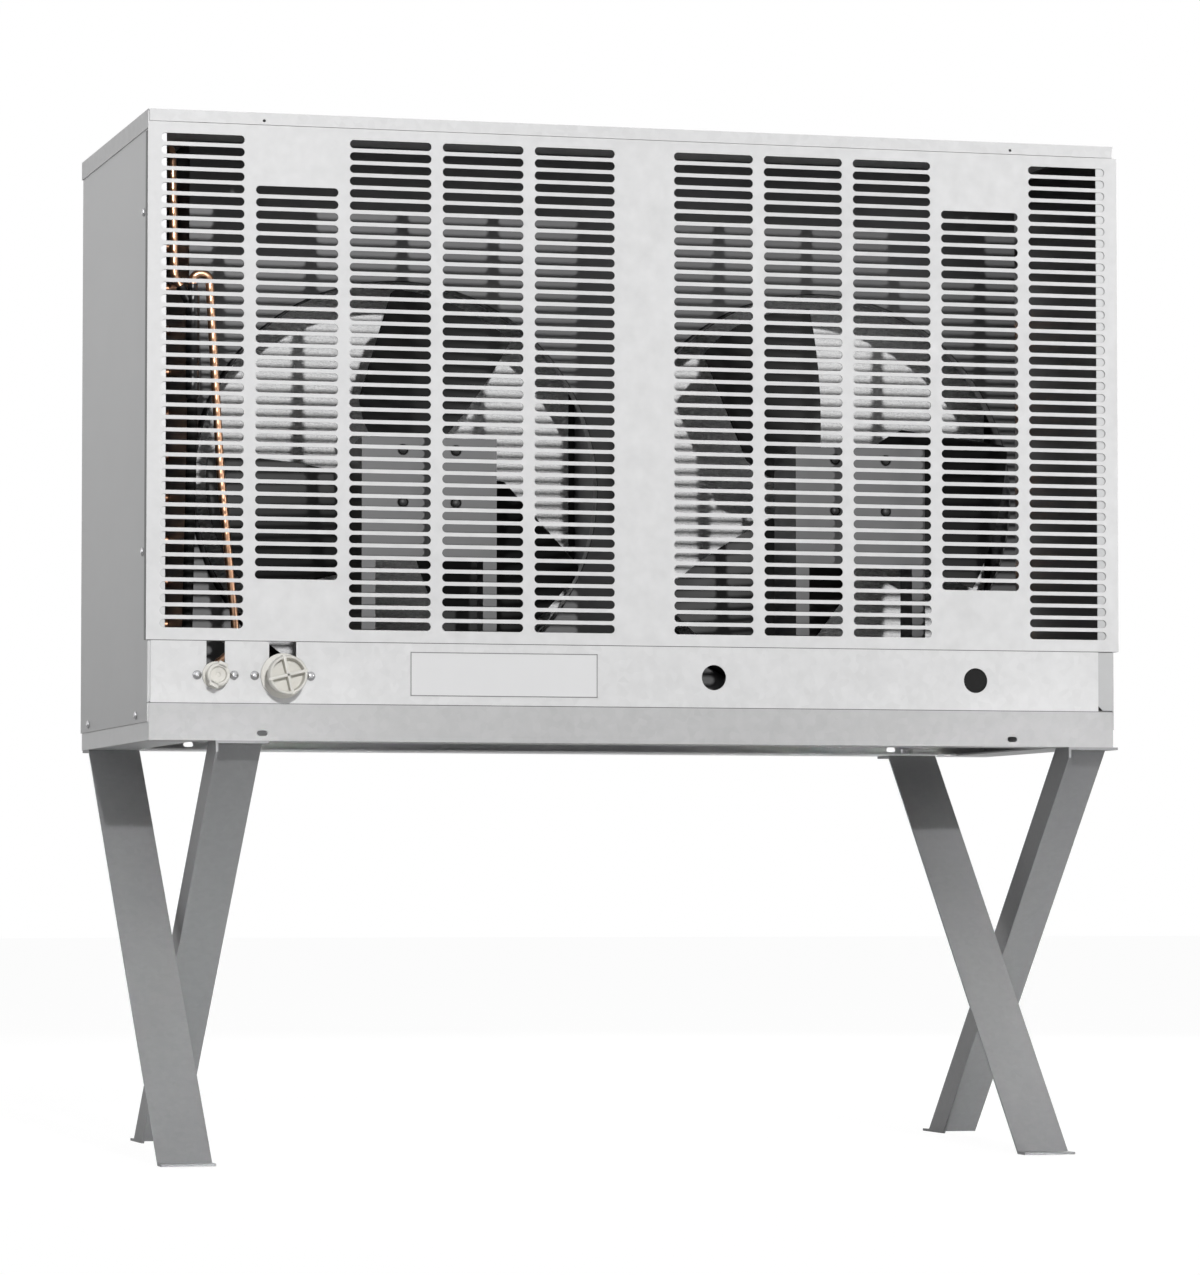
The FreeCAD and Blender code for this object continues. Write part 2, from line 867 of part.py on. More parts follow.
def blade_section():
    """A curved strip across the blade: arcs of two radii, one sheet apart."""
    half = math.asin(blade_chord / 2 / blade_camber_radius)
    outer = blade_camber_radius + blade_sheet / 2
    inner = blade_camber_radius - blade_sheet / 2

    def on_arc(radius, angle):
        return Vector(radius * math.sin(angle), radius * math.cos(angle) - blade_camber_radius, 0)

    return Part.Wire([
        Part.Arc(on_arc(outer, -half), on_arc(outer, 0), on_arc(outer, half)).toShape(),
        Part.makeLine(on_arc(outer, half), on_arc(inner, half)),
        Part.Arc(on_arc(inner, half), on_arc(inner, 0), on_arc(inner, -half)).toShape(),
        Part.makeLine(on_arc(inner, -half), on_arc(outer, -half)),
    ])


def blade_outline():
    """The blade's outline seen along the shaft: root, middle and tip of both edges, and the arcs between."""
    inside = hub_radius + blade_root_gap
    radii = (inside, (inside + blade_radius) / 2, blade_radius)

    def at(radius, angle):
        return Vector(radius * math.sin(angle), 0, radius * math.cos(angle))

    lead = [at(radius, -angle) for radius, angle in zip(radii, blade_lead)]
    trail = [at(radius, angle) for radius, angle in zip(radii, blade_trail)]
    edges = [
        lead,
        (lead[-1], at(blade_radius, 0), trail[-1]),
        trail[::-1],
        (trail[0], at(inside, 0), lead[0]),
    ]
    wire = Part.Wire([Part.Arc(*corners).toShape() for corners in edges])
    outline = Part.Face(wire).extrude(Vector(0, 2 * blade_chord, 0))
    outline.translate(Vector(0, -blade_chord, 0))
    return outline


def fan_blades(x, turn):
    """Cambered blades round the hub."""
    strip = Part.Face(blade_section()).extrude(Vector(0, 0, blade_radius + hub_radius))
    strip.rotate(Vector(0, 0, 0), Vector(0, 0, 1), blade_pitch)
    blade = strip.common(blade_outline())
    blades = []
    for number in range(blade_count):
        copy = blade.copy()
        copy.rotate(Vector(0, 0, 0), Vector(0, 1, 0), turn + number * 360 / blade_count)
        copy.translate(point(x, neck_front, fan_level))
        blades.append(copy)
    return Part.makeCompound(blades)


# Coil

def coil_row_levels():
    """Height of each tube row."""
    return [coil_foot + coil_first_row + row * coil_tube_pitch for row in range(coil_tube_rows)]


def coil_tube_depth():
    """The tubes run through the middle of the fins."""
    return coil_front + coil_depth / 2


def coil_tube_bar(left, right, level):
    """One straight tube of the coil, or the hole for it."""
    depth = coil_tube_depth()
    return bar(coil_tube_radius, point(left, depth, level), point(right, depth, level), tube_sides)


def coil_fins():
    """The stack of fins between the end plates, with the tubes' holes."""
    fins = block(coil_left, coil_right, coil_front, coil_back, coil_foot, coil_top)
    holes = [coil_tube_bar(coil_left, coil_right, level) for level in coil_row_levels()]
    return fins.cut(Part.makeCompound(holes))


def coil_end_plate(outer, inward):
    """The plate that the tubes pass through at one end of the fins."""
    plate = sorted((outer, outer + inward * sheet))
    end = block(plate[0], plate[1], coil_front, coil_back, pan_top, shroud_top)
    holes = [coil_tube_bar(plate[0], plate[1], level) for level in coil_row_levels()]
    return end.cut(Part.makeCompound(holes))


def coil_tubes():
    """The straight tubes from end plate to end plate and a little beyond."""
    left = shroud_left - coil_bend_straight
    right = shroud_right + coil_bend_straight
    return Part.makeCompound([coil_tube_bar(left, right, level) for level in coil_row_levels()])


def return_bends(x, outward, first):
    """Half-round bends joining neighbouring tubes at one end."""
    levels = coil_row_levels()
    depth = coil_tube_depth()
    far = x + outward * coil_tube_pitch / 2
    bends = []
    for low, high in zip(levels[first::2], levels[first + 1::2]):
        route = [point(x, depth, low), point(far, depth, low), point(far, depth, high), point(x, depth, high)]
        bends.append(pipe(coil_tube_radius, route, coil_tube_pitch / 2, tube_sides))
    return Part.makeCompound(bends)


def coil_seals():
    """Dark foam strips that close the coil's front against the shroud's walls."""
    front = coil_front - seal_sheet
    right = shroud_right - sheet
    return Part.makeCompound([
        block(divider_left - seal_width, divider_left, front, coil_front, coil_foot, coil_top),
        block(right - seal_width, right, front, coil_front, coil_foot, coil_top),
    ])


# Piping

def valve_port(reach):
    """A place along the valve's leaning side port."""
    lean = math.radians(valve_port_lean)
    return point(valve_place - reach * math.sin(lean), pipe_depth, valve_port_level + reach * math.cos(lean))


def discharge_line():
    """The copper riser at the back, its branch into the coil's top tube, and the bypass to the valve."""
    top_row = coil_row_levels()[-1]
    bend = 3 * line_radius
    riser = pipe(line_radius, [
        point(riser_place, riser_depth, hose_end_level),
        point(riser_place, riser_depth, riser_head_level),
        point(riser_place, pipe_depth, riser_head_level),
        valve_port(valve_port_reach + bend),
        valve_port(valve_port_reach),
    ], bend)
    branch = pipe(line_radius, [
        point(shroud_left - coil_bend_straight, coil_tube_depth(), top_row),
        point(riser_place, coil_tube_depth(), top_row),
        point(riser_place, riser_depth, top_row),
    ], bend)
    return join([riser, branch])


def control_valve():
    """The head pressure valve: a round body with a neck on top and a leaning side port."""
    foot = point(valve_place, pipe_depth, valve_foot_level)
    head = point(valve_place, pipe_depth, valve_head_level)
    neck = head + Vector(0, 0, valve_neck_length)
    return join([
        bar(valve_radius, foot, head, valve_sides),
        bar(valve_neck_radius, head, neck, valve_sides),
        bar(valve_neck_radius, valve_port(0), valve_port(valve_port_reach), valve_sides),
    ])


def liquid_line():
    """The copper line that arches out of the valve and slopes down to the small coupling."""
    arch_level = valve_head_level + arch_width
    down = valve_place + arch_width
    return pipe(line_radius, [
        point(valve_place, pipe_depth, valve_head_level + valve_neck_length),
        point(valve_place, pipe_depth, arch_level),
        point(down, pipe_depth, arch_level),
        point(down + liquid_knee_shift, pipe_depth, valve_foot_level - liquid_knee_drop),
        point(down + liquid_tail_shift, pipe_depth, coupling_height + liquid_tail_rise),
        point(small_coupling_place, pipe_depth - liquid_tail_setback, coupling_height),
        point(small_coupling_place, small_coupling_back, coupling_height),
    ], arch_bend_radius)


def condensate_line():
    """The dark line from the coil's bottom tube up to the valve's foot."""
    bottom_row = coil_row_levels()[0]
    return pipe(condensate_radius, [
        point(shroud_left - coil_bend_straight, coil_tube_depth(), bottom_row),
        point(condensate_place, coil_tube_depth(), bottom_row),
        point(condensate_place + condensate_shift, pipe_depth, bottom_row),
        point(valve_place, pipe_depth, valve_foot_level - condensate_tail),
        point(valve_place, pipe_depth, valve_foot_level),
    ], 2 * condensate_radius)


def gas_hose():
    """The insulated hose from the large coupling round to the riser's foot."""
    return pipe(hose_radius, [
        point(large_coupling_place, large_coupling_back, coupling_height),
        point(large_coupling_place, pipe_depth, coupling_height),
        point(riser_place, pipe_depth + hose_turn_setback, coupling_height),
        point(riser_place, riser_depth, coupling_height),
        point(riser_place, riser_depth, hose_end_level),
    ], 3 * hose_radius)


# Couplings and dust caps

def coupling_screw_places():
    """Sideways place of each screw beside a coupling."""
    for place, spread in (
            (small_coupling_place, small_coupling_spread),
            (large_coupling_place, large_coupling_spread)):
        yield place - spread / 2
        yield place + spread / 2


def coupling(x, radius, spread, front, back):
    """A coupling half with a two-eared flange against the panel's back."""
    flange_back = sheet + coupling_flange_sheet
    half = spread / 2
    foot = coupling_height - coupling_ear
    body = join([
        depth_bar(radius, x, coupling_height, front, back, coupling_sides),
        block(x - half, x + half, sheet, flange_back, foot, foot + 2 * coupling_ear),
        depth_bar(coupling_ear, x - half, coupling_height, sheet, flange_back),
        depth_bar(coupling_ear, x + half, coupling_height, sheet, flange_back),
    ])
    for place in (x - half, x + half):
        body = body.cut(depth_bar(coupling_screw_radius, place, coupling_height, sheet, flange_back))
    return body


def coupling_screws():
    """Dome-headed screws beside the couplings."""
    profile = screw_profile(coupling_screw_head, coupling_screw_dome, coupling_screw_radius,
                            sheet + coupling_flange_sheet)
    return Part.makeCompound([
        turned(point(place, 0, coupling_height), Vector(0, -1, 0), profile)
        for place in coupling_screw_places()
    ])


def cap_body(x, coupling_radius, radius, ring_radius, reach):
    """A cap over a coupling's nose, closed in the middle, with a thin ring against the panel."""
    body = turned(point(x, -cap_face_gap, coupling_height), Vector(0, -1, 0), [
        (0, ring_radius),
        (cap_ring_length, ring_radius),
        (cap_ring_length, radius),
        (reach - cap_face_gap - cap_edge, radius),
        (reach - cap_face_gap, radius - cap_edge),
    ], cap_sides)
    return body.cut(cap_hole(x, coupling_radius + cap_wall_gap, -reach / 2 - cap_wall_gap, -cap_face_gap))


def cap_hole(x, radius, depth0, depth1):
    """A many-sided hole along a cap's axis."""
    return depth_bar(radius, x, coupling_height, depth0, depth1, cap_sides)


def radial_bar(x, half_length, half_width, depth0, depth1, turn):
    """A flat bar through a cap's middle, turned about the cap's axis."""
    made = block(x - half_length, x + half_length, depth0, depth1,
                 coupling_height - half_width, coupling_height + half_width)
    made.rotate(point(x, 0, coupling_height), Vector(0, -1, 0), turn)
    return made


def small_dust_cap():
    """The small cap: a grip with two lobes and a round recess."""
    x = small_coupling_place
    front = -small_cap_reach
    cap = cap_body(x, small_coupling_radius, small_cap_radius, small_cap_ring, small_cap_reach)
    lobes = radial_bar(x, small_cap_lobe_reach, small_cap_lobe_width / 2, front,
                       front + small_cap_lobe_length, small_cap_lobe_turn)
    recess = cap_hole(x, small_cap_radius - small_cap_rim, front, front + small_cap_recess)
    return join([cap, lobes]).cut(recess)


def large_dust_cap():
    """The large cap: a deep round recess crossed by two ribs."""
    x = large_coupling_place
    front = -large_cap_reach
    floor = front + large_cap_recess
    cap = cap_body(x, large_coupling_radius, large_cap_radius, large_cap_ring, large_cap_reach)
    cap = cap.cut(cap_hole(x, large_cap_radius - large_cap_rim, front, floor))
    ribs = [radial_bar(x, large_cap_rib_reach, large_cap_rib / 2, front, floor, large_cap_rib_turn + turn)
            for turn in (0, 90)]
    return join([cap] + ribs)


def main():
    """Write every sub-part."""
    os.makedirs("parts", exist_ok=True)
    save("base_rail_front", long_rail(0, 1))
    save("base_rail_back", long_rail(cabinet_back, -1))
    save("base_rail_left", side_rail(cabinet_left, 1))
    save("base_rail_right", side_rail(cabinet_right, -1))
    save("base_pan", base_pan())
    names = ("leg_left_outer", "leg_left_inner", "leg_right_inner", "leg_right_outer")
    for name, leg in zip(names, legs()):
        save(name, leg)
    save("leg_bolts", leg_bolts())
    save("leg_nuts", leg_nuts())
    save("side_panel_left", side_panel(cabinet_left, -1))
    save("side_panel_right", side_panel(cabinet_right, 1))
    save("top_cover", top_cover())
    save("panel_screws", panel_screws())
    save("front_grille", front_grille())
    save("connection_panel", connection_panel())
    save("hole_plug", hole_plug())
    save("fan_shroud", fan_shroud())
    save("divider", divider())
    for side, x, turn in zip(("left", "right"), fan_places, (left_fan_turn, right_fan_turn)):
        save("motor_bracket_" + side, motor_bracket(x))
        save("motor_" + side, motor(x))
        save("fan_shaft_" + side, fan_shaft(x))
        save("fan_hub_" + side, fan_hub(x))
        save("fan_blades_" + side, fan_blades(x, turn))
    save("motor_grommets", motor_grommets())
    save("motor_bolts", motor_bolts())
    save("coil_fins", coil_fins())
    save("coil_end_left", coil_end_plate(shroud_left + sheet, 1))
    save("coil_end_right", coil_end_plate(shroud_right - sheet, -1))
    save("coil_tubes", coil_tubes())
    save("return_bends_left", return_bends(shroud_left - coil_bend_straight, -1, 1))
    save("return_bends_right", return_bends(shroud_right + coil_bend_straight, 1, 0))
    save("coil_seals", coil_seals())
    save("discharge_line", discharge_line())
    save("control_valve", control_valve())
    save("liquid_line", liquid_line())
    save("condensate_line", condensate_line())
    save("gas_hose", gas_hose())
    save("coupling_small", coupling(small_coupling_place, small_coupling_radius, small_coupling_spread,
                                    -small_cap_reach / 2, small_coupling_back))
    save("coupling_large", coupling(large_coupling_place, large_coupling_radius, large_coupling_spread,
                                    -large_cap_reach / 2, large_coupling_back))
    save("coupling_screws", coupling_screws())
    save("dust_cap_small", small_dust_cap())
    save("dust_cap_large", large_dust_cap())


main()
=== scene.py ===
# %% [markdown]
# # A remote condenser
# The object is a galvanised steel cabinet on crossed legs. Air is drawn through a finned coil at the
# back by two fans, and leaves through the slotted grille at the front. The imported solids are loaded
# first and stay where they are. Every finish and every finer piece is added round them.

import math

import bmesh
import bpy
from mathutils import Matrix, Vector


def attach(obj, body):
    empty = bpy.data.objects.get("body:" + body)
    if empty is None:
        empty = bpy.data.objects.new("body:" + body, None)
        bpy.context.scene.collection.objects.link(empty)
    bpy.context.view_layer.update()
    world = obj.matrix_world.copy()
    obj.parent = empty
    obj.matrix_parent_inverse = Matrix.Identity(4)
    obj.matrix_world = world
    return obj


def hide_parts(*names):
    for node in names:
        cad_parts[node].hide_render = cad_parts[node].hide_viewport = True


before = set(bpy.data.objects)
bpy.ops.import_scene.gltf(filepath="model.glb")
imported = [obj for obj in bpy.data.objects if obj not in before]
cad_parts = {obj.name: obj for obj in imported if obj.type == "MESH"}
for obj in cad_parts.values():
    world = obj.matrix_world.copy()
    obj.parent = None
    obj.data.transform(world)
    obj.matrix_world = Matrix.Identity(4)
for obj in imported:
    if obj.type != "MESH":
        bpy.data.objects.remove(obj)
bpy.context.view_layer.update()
MM = 0.001

# %% [markdown]
# ## The camera
# A tall product picture taken from a long way off, a little below the middle of the cabinet and well
# round to its left. A long lens keeps the upright edges nearly parallel. The camera comes first, so
# that every later piece can be judged in the view that matters.

# %% Set the camera
SENSOR = 36.0
LENS = 146.37
FAR_CLIP = 100.0
CAMERA_PLACE = (-1.60067, -5.92866, 0.29667)
CAMERA_RISE = 2.85
CAMERA_TURN = -15.182
camera_data = bpy.data.cameras.new("camera")
camera_data.sensor_width = SENSOR
camera_data.lens = LENS
camera_data.clip_end = FAR_CLIP
camera = bpy.data.objects.new("camera", camera_data)
camera.location = CAMERA_PLACE
camera.rotation_euler = (math.radians(90 + CAMERA_RISE), 0.0, math.radians(CAMERA_TURN))
bpy.context.scene.collection.objects.link(camera)
bpy.context.scene.camera = camera
print("camera:", LENS, "mm lens, turned by", CAMERA_TURN, "degrees")

# %% [markdown]
# ## Writing materials as sums
# A procedural finish is a little arithmetic on noise. Wiring every Math node by hand hides that
# arithmetic, so a socket is wrapped in a class whose plus and times signs add the nodes.

# %% Wrap a socket
class Wire:
    """The output of a shader node, which can be used in a sum."""

    def __init__(self, paint, socket):
        self.paint = paint
        self.socket = socket

    def math(self, operation, left, right):
        return self.paint.node("ShaderNodeMath", {"operation": operation}, {0: left, 1: right})

    def __add__(self, other):
        return self.math("ADD", self, other)

    def __mul__(self, other):
        return self.math("MULTIPLY", self, other)

    def __sub__(self, other):
        return self.math("SUBTRACT", self, other)

    __radd__ = __add__


# %% [markdown]
# ## One material
# A material starts with the fixed values of its Principled shader. Its methods add noise, cells and
# masks on the object's own coordinates, so a pattern stays on its piece when the piece moves.

# %% Mix a material
class Paint:
    """One material, with its Principled shader and short ways to add nodes."""

    def __init__(self, name, **fixed):
        self.material = bpy.data.materials.new(name)
        self.material.use_nodes = True
        self.tree = self.material.node_tree
        self.shader = self.tree.nodes["Principled BSDF"]
        for socket, value in fixed.items():
            self.shader.inputs[socket.replace("_", " ")].default_value = value
        self.place = self.node("ShaderNodeTexCoord", output="Object")

    def node(self, kind, settings=None, sockets=None, output=0):
        """Add one node: settings first, then its sockets by name or number."""
        made = self.tree.nodes.new(kind)
        for key, value in (settings or {}).items():
            setattr(made, key, value)
        for key, value in (sockets or {}).items():
            if isinstance(value, Wire):
                self.tree.links.new(value.socket, made.inputs[key])
            else:
                made.inputs[key].default_value = value
        return Wire(self, made.outputs[output])

    def noise(self, scale, detail=3.0, stretch=(1.0, 1.0, 1.0)):
        """Cloudy noise on the object's own coordinates, in features per metre."""
        placed = self.node("ShaderNodeMapping", None, {"Vector": self.place, "Scale": stretch})
        return self.node("ShaderNodeTexNoise", None,
                         {"Vector": placed, "Scale": scale, "Detail": detail})

    def cells(self, scale):
        """A pattern of cells on the object's own coordinates, each with a shade of its own."""
        return self.node("ShaderNodeTexVoronoi", None, {"Vector": self.place, "Scale": scale}, "Color")

    def along(self, axis):
        """The object's own coordinate along one axis, in metres."""
        return self.node("ShaderNodeSeparateXYZ", None, {0: self.place}, axis)

    def within(self, value, middle, reach):
        """One where a value lies within reach of the middle, and nought elsewhere."""
        return self.node("ShaderNodeMath", {"operation": "COMPARE"}, {0: value, 1: middle, 2: reach})

    def blend(self, share, first, second):
        """Mix two colours."""
        return self.node("ShaderNodeMix", {"data_type": "RGBA"},
                         {0: share, 6: (*first, 1.0), 7: (*second, 1.0)}, 2)

    def tinted(self, color, tone):
        """A colour multiplied by a grey wire."""
        return self.node("ShaderNodeMix", {"data_type": "RGBA", "blend_type": "MULTIPLY"},
                         {0: 1.0, 6: (*color, 1.0), 7: tone}, 2)

    def finish(self, color, roughness, bump=None, depth=0.0):
        """Send what varies to the shader."""
        links = {"Base Color": color, "Roughness": roughness}
        if bump is not None:
            links["Normal"] = self.node("ShaderNodeBump", None,
                                        {"Height": bump, "Distance": depth, "Strength": 1.0})
        for socket, wire in links.items():
            self.tree.links.new(wire.socket, self.shader.inputs[socket])
        return self.material


# %% [markdown]
# ## Galvanised steel
# Hot-dip zinc freezes into soft, cloudy patches called spangle, a few millimetres across. On this
# cabinet it is faint: the sheet is pale and satin, with patches only a few percent lighter or darker.
# Two noises and one cell pattern, added with small weights, give that. The same recipe with a darker
# base serves the heavier sheet of the legs. Darker copies of it are painted shade: they darken the
# shroud, the motor brackets and the necks for the cabinet's inner shade, and the front rail against
# the leg lamps' light. A paler copy is painted light on the back rail, which stands in shadow.

# %% Mix the galvanised finishes
SPANGLE = 55.0
SPANGLE_DETAIL = 5.0
DRIFT = 7.0
CRYSTALS = 120.0
GRAIN = 900.0
SPANGLE_DEPTH = 0.00006
SHEET_GREY = (0.58, 0.58, 0.583)


def galvanised(name, color, metallic, roughness, contrast, scale=1.0):
    """Zinc-coated sheet: clouds, slow drifts and crystals, with a contrast that sets their strength."""
    paint = Paint(name, Metallic=metallic)
    cloud = paint.noise(SPANGLE * scale, SPANGLE_DETAIL)
    drift = paint.noise(DRIFT * scale, 2.0)
    crystals = paint.cells(CRYSTALS * scale)
    grain = paint.noise(GRAIN, 2.0)
    clouded = 1.0 - contrast + cloud * contrast * 1.2
    tone = clouded + drift * contrast * 0.6 + (crystals - 0.5) * contrast * 0.5
    shine = roughness - 0.05 + cloud * 0.10
    return paint.finish(paint.tinted(color, tone), shine, cloud + grain * 0.4, SPANGLE_DEPTH)


panel_steel = galvanised("panel_steel", SHEET_GREY, 0.15, 0.50, 0.14)
side_steel = galvanised("side_steel", (0.50, 0.502, 0.505), 0.30, 0.42, 0.07)
# Painted shade: a dark copy of the galvanised finish for the shroud, its walls, the bay's back and the base
# pan inside the cabinet.
shaded_inner_steel = galvanised("shaded_inner_steel", (0.105, 0.105, 0.107), 0.45, 0.45, 0.06)
# Painted shade: a darker copy of the panel's finish on the front rail, offsetting the leg lamps' light on it.
shaded_rail_steel = galvanised("shaded_rail_steel", (0.42, 0.42, 0.422), 0.15, 0.50, 0.14)
# Painted light: a paler copy of the galvanised finish brightens the back rail, which stands in shadow under
# the cabinet.
back_steel_painted_light = galvanised("back_steel_painted_light", (0.88, 0.88, 0.885), 0.1, 0.50, 0.06)
# Painted shade: the necks' galvanised sheet is made near black, for the shade inside the shroud.
shaded_neck_steel = galvanised("shaded_neck_steel", (0.022, 0.022, 0.023), 0.2, 0.35, 0.06)
# Painted shade: a dark copy of the galvanised finish for the motor brackets inside the cabinet.
shaded_bracket_steel = galvanised("shaded_bracket_steel", (0.115, 0.115, 0.117), 0.40, 0.45, 0.08)
leg_steel = galvanised("leg_steel", (0.25, 0.252, 0.256), 0.30, 0.50, 0.12, 1.4)
print("galvanised finishes: 8")

# %% [markdown]
# ## Sheet that is dark on its inner side
# The grille and the side panels are bright outside. Inside the cabinet they stand in its own shade,
# so a mask on the object's coordinates takes four fifths of their tone away there.

# %% Shade the grille and the side panels inside
SHADE_SHARE = 0.80
GRILLE_BACK = -0.2242
BETWEEN_SIDES = (-0.002, 0.5729)
BEHIND_FLANGE = (-0.00575, 0.21575)


def grille_finish():
    """The grille: bright in front and dull behind, where no light falls."""
    paint = Paint("grille_steel", Metallic=0.15)
    cloud = paint.noise(SPANGLE, SPANGLE_DETAIL)
    drift = paint.noise(DRIFT, 2.0)
    behind = paint.node("ShaderNodeMath", {"operation": "GREATER_THAN"},
                        {0: paint.along("Y"), 1: GRILLE_BACK})
    tone = 0.82 + cloud * 0.24 + drift * 0.10
    shaded = tone - tone * behind * SHADE_SHARE
    return paint.finish(paint.tinted(SHEET_GREY, shaded), 0.45 + cloud * 0.10, cloud, SPANGLE_DEPTH)


def side_panel_finish():
    """The side panels: painted light makes them paler towards the top outside, and painted shade darkens them
    inside behind their front flange.
    """
    paint = Paint("panel_side", Metallic=0.45)
    cloud = paint.noise(SPANGLE, SPANGLE_DETAIL)
    drift = paint.noise(DRIFT, 2.0)
    inside = paint.within(paint.along("X"), *BETWEEN_SIDES)
    behind = paint.within(paint.along("Y"), *BEHIND_FLANGE)
    # Painted light: the tone rises with height, standing in for the light that falls more on the upper part
    # of each side panel.
    tone = 0.51 + cloud * 0.09 + drift * 0.05 + paint.along("Z") * 0.40
    shaded = tone - tone * inside * behind * SHADE_SHARE
    return paint.finish(paint.tinted((0.44, 0.442, 0.445), shaded), 0.37 + cloud * 0.10, cloud, SPANGLE_DEPTH)


grille_steel = grille_finish()
panel_side = side_panel_finish()
print("shaded finishes:", grille_steel.name, "and", panel_side.name)

# %% [markdown]
# ## The other finishes
# Copper tube is bright where it turns to the light, the fans and motors are satin black and the dust
# caps are a warm white plastic. Each is one colour with a faint mottle, which also moves its shine.

# %% Mix the plain finishes
MOTTLE_DEPTH = 0.00003


def plain(name, color, metallic, roughness, mottle, scale=60.0, **fixed):
    """One colour with a faint mottle."""
    paint = Paint(name, Metallic=metallic, **fixed)
    cloud = paint.noise(scale, 4.0)
    tone = 1.0 - mottle + cloud * mottle * 2.0
    return paint.finish(paint.tinted(color, tone), roughness - 0.04 + cloud * 0.08, cloud, MOTTLE_DEPTH)


copper = plain("copper", (0.93, 0.54, 0.34), 1.0, 0.32, 0.12, 40.0)
satin_black = plain("satin_black", (0.022, 0.022, 0.023), 0.0, 0.38, 0.15)
blade_black = plain("blade_black", (0.005, 0.005, 0.005), 0.0, 0.55, 0.15)
rubber_black = plain("rubber_black", (0.012, 0.012, 0.012), 0.0, 0.70, 0.20, 200.0, Specular_IOR_Level=0.15)
foam_black = plain("foam_black", (0.015, 0.015, 0.015), 0.0, 0.85, 0.30, 500.0)
cap_white = plain("cap_white", (0.66, 0.645, 0.60), 0.0, 0.45, 0.03, 30.0)
zinc = plain("zinc", (0.66, 0.66, 0.67), 1.0, 0.28, 0.10, 300.0)
ground_steel = plain("ground_steel", (0.55, 0.55, 0.56), 1.0, 0.25, 0.08, 300.0)
brass = plain("brass", (0.74, 0.60, 0.34), 1.0, 0.30, 0.10, 80.0)
bolt_black = plain("bolt_black", (0.05, 0.05, 0.051), 0.5, 0.45, 0.10, 200.0)
chrome = plain("chrome", (0.50, 0.50, 0.51), 1.0, 0.20, 0.06, 200.0)
valve_black = plain("valve_black", (0.018, 0.018, 0.019), 0.1, 0.30, 0.12)
plate_white = plain("plate_white", (0.68, 0.68, 0.685), 0.0, 0.45, 0.01, 30.0)
# Painted shade: the seam strips stand for the shade in the hairline gaps between the sheets.
seam_painted_shade = plain("seam_painted_shade", (0.10, 0.10, 0.10), 0.0, 0.6, 0.10, 200.0)
border_grey = plain("border_grey", (0.22, 0.22, 0.22), 0.0, 0.5, 0.05, 30.0)
fin_edge = plain("fin_edge", (0.86, 0.86, 0.87), 0.9, 0.30, 0.20, 300.0)
print("plain finishes: 16")

# %% [markdown]
# ## Fins and tube collars
# From the front the fins read as one bright, crinkled face. Noise that is drawn out along the height
# moves both its tone and its bump. A tube is copper at its two ends, and between them it wears the
# fins' own aluminium collars.

# %% Mix the coil's finishes
FIN_CRINKLE_DEPTH = 0.0011
BETWEEN_END_PLATES = (0.0201, 0.5062)
COLLAR_COPPER = (0.86, 0.46, 0.28)
COLLAR_ALUMINIUM = (0.85, 0.85, 0.86)


def fin_block_finish():
    """Bright crinkled fins: fine waves across the strips, which catch the light like foil."""
    paint = Paint("fin_metal", Metallic=0.0)
    crinkle = paint.noise(420.0, 2.0, (0.8, 1.0, 1.6))
    ripple = paint.noise(90.0, 2.0, (0.5, 1.0, 2.5))
    tone = 0.62 + crinkle * 0.75
    return paint.finish(paint.tinted((0.97, 0.97, 0.975), tone), 0.42 + crinkle * 0.12,
                        crinkle + ripple * 1.5, FIN_CRINKLE_DEPTH)


def collar_finish():
    """Copper at the tube's two ends and aluminium collars between them."""
    paint = Paint("collar_metal", Metallic=1.0)
    cloud = paint.noise(60.0, 3.0)
    inside = paint.within(paint.along("X"), *BETWEEN_END_PLATES)
    return paint.finish(paint.blend(inside, COLLAR_COPPER, COLLAR_ALUMINIUM), 0.24 + cloud * 0.1)


fin_metal = fin_block_finish()
collar_metal = collar_finish()
print("coil finishes:", fin_metal.name, "and", collar_metal.name)

# %% [markdown]
# ## Finishes for the solids
# Each solid listed here gets its finish, and those that a finer piece replaces later get the nearest one.

# %% Give the carried-over solids their finishes
finishes = {
    panel_steel: ["top_cover", "connection_panel"],
    shaded_rail_steel: ["base_rail_front"],
    side_steel: ["base_rail_left", "base_rail_right"],
    back_steel_painted_light: ["base_rail_back"],
    panel_side: ["side_panel_left", "side_panel_right"],
    shaded_inner_steel: ["fan_shroud", "divider", "coil_end_left", "coil_end_right", "base_pan"],
    shaded_bracket_steel: ["motor_bracket_left", "motor_bracket_right"],
    leg_steel: ["leg_left_outer", "leg_left_inner", "leg_right_inner", "leg_right_outer"],
    zinc: ["leg_bolts", "leg_nuts", "motor_bolts", "coupling_screws", "panel_screws"],
    ground_steel: ["fan_shaft_left", "fan_shaft_right"],
    satin_black: ["motor_left", "motor_right", "fan_hub_left", "fan_hub_right", "control_valve"],
    blade_black: ["fan_blades_left", "fan_blades_right"],
    rubber_black: ["motor_grommets", "hole_plug", "condensate_line", "gas_hose"],
    foam_black: ["coil_seals"],
    copper: ["coil_tubes", "return_bends_left", "return_bends_right", "discharge_line", "liquid_line"],
    brass: ["coupling_small", "coupling_large"],
    cap_white: ["dust_cap_small", "dust_cap_large"],
    fin_metal: ["coil_fins"],
}
for material, nodes in finishes.items():
    for node in nodes:
        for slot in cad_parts[node].material_slots:
            slot.material = material
print("finished nodes:", sum(len(nodes) for nodes in finishes.values()), "of", len(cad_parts))

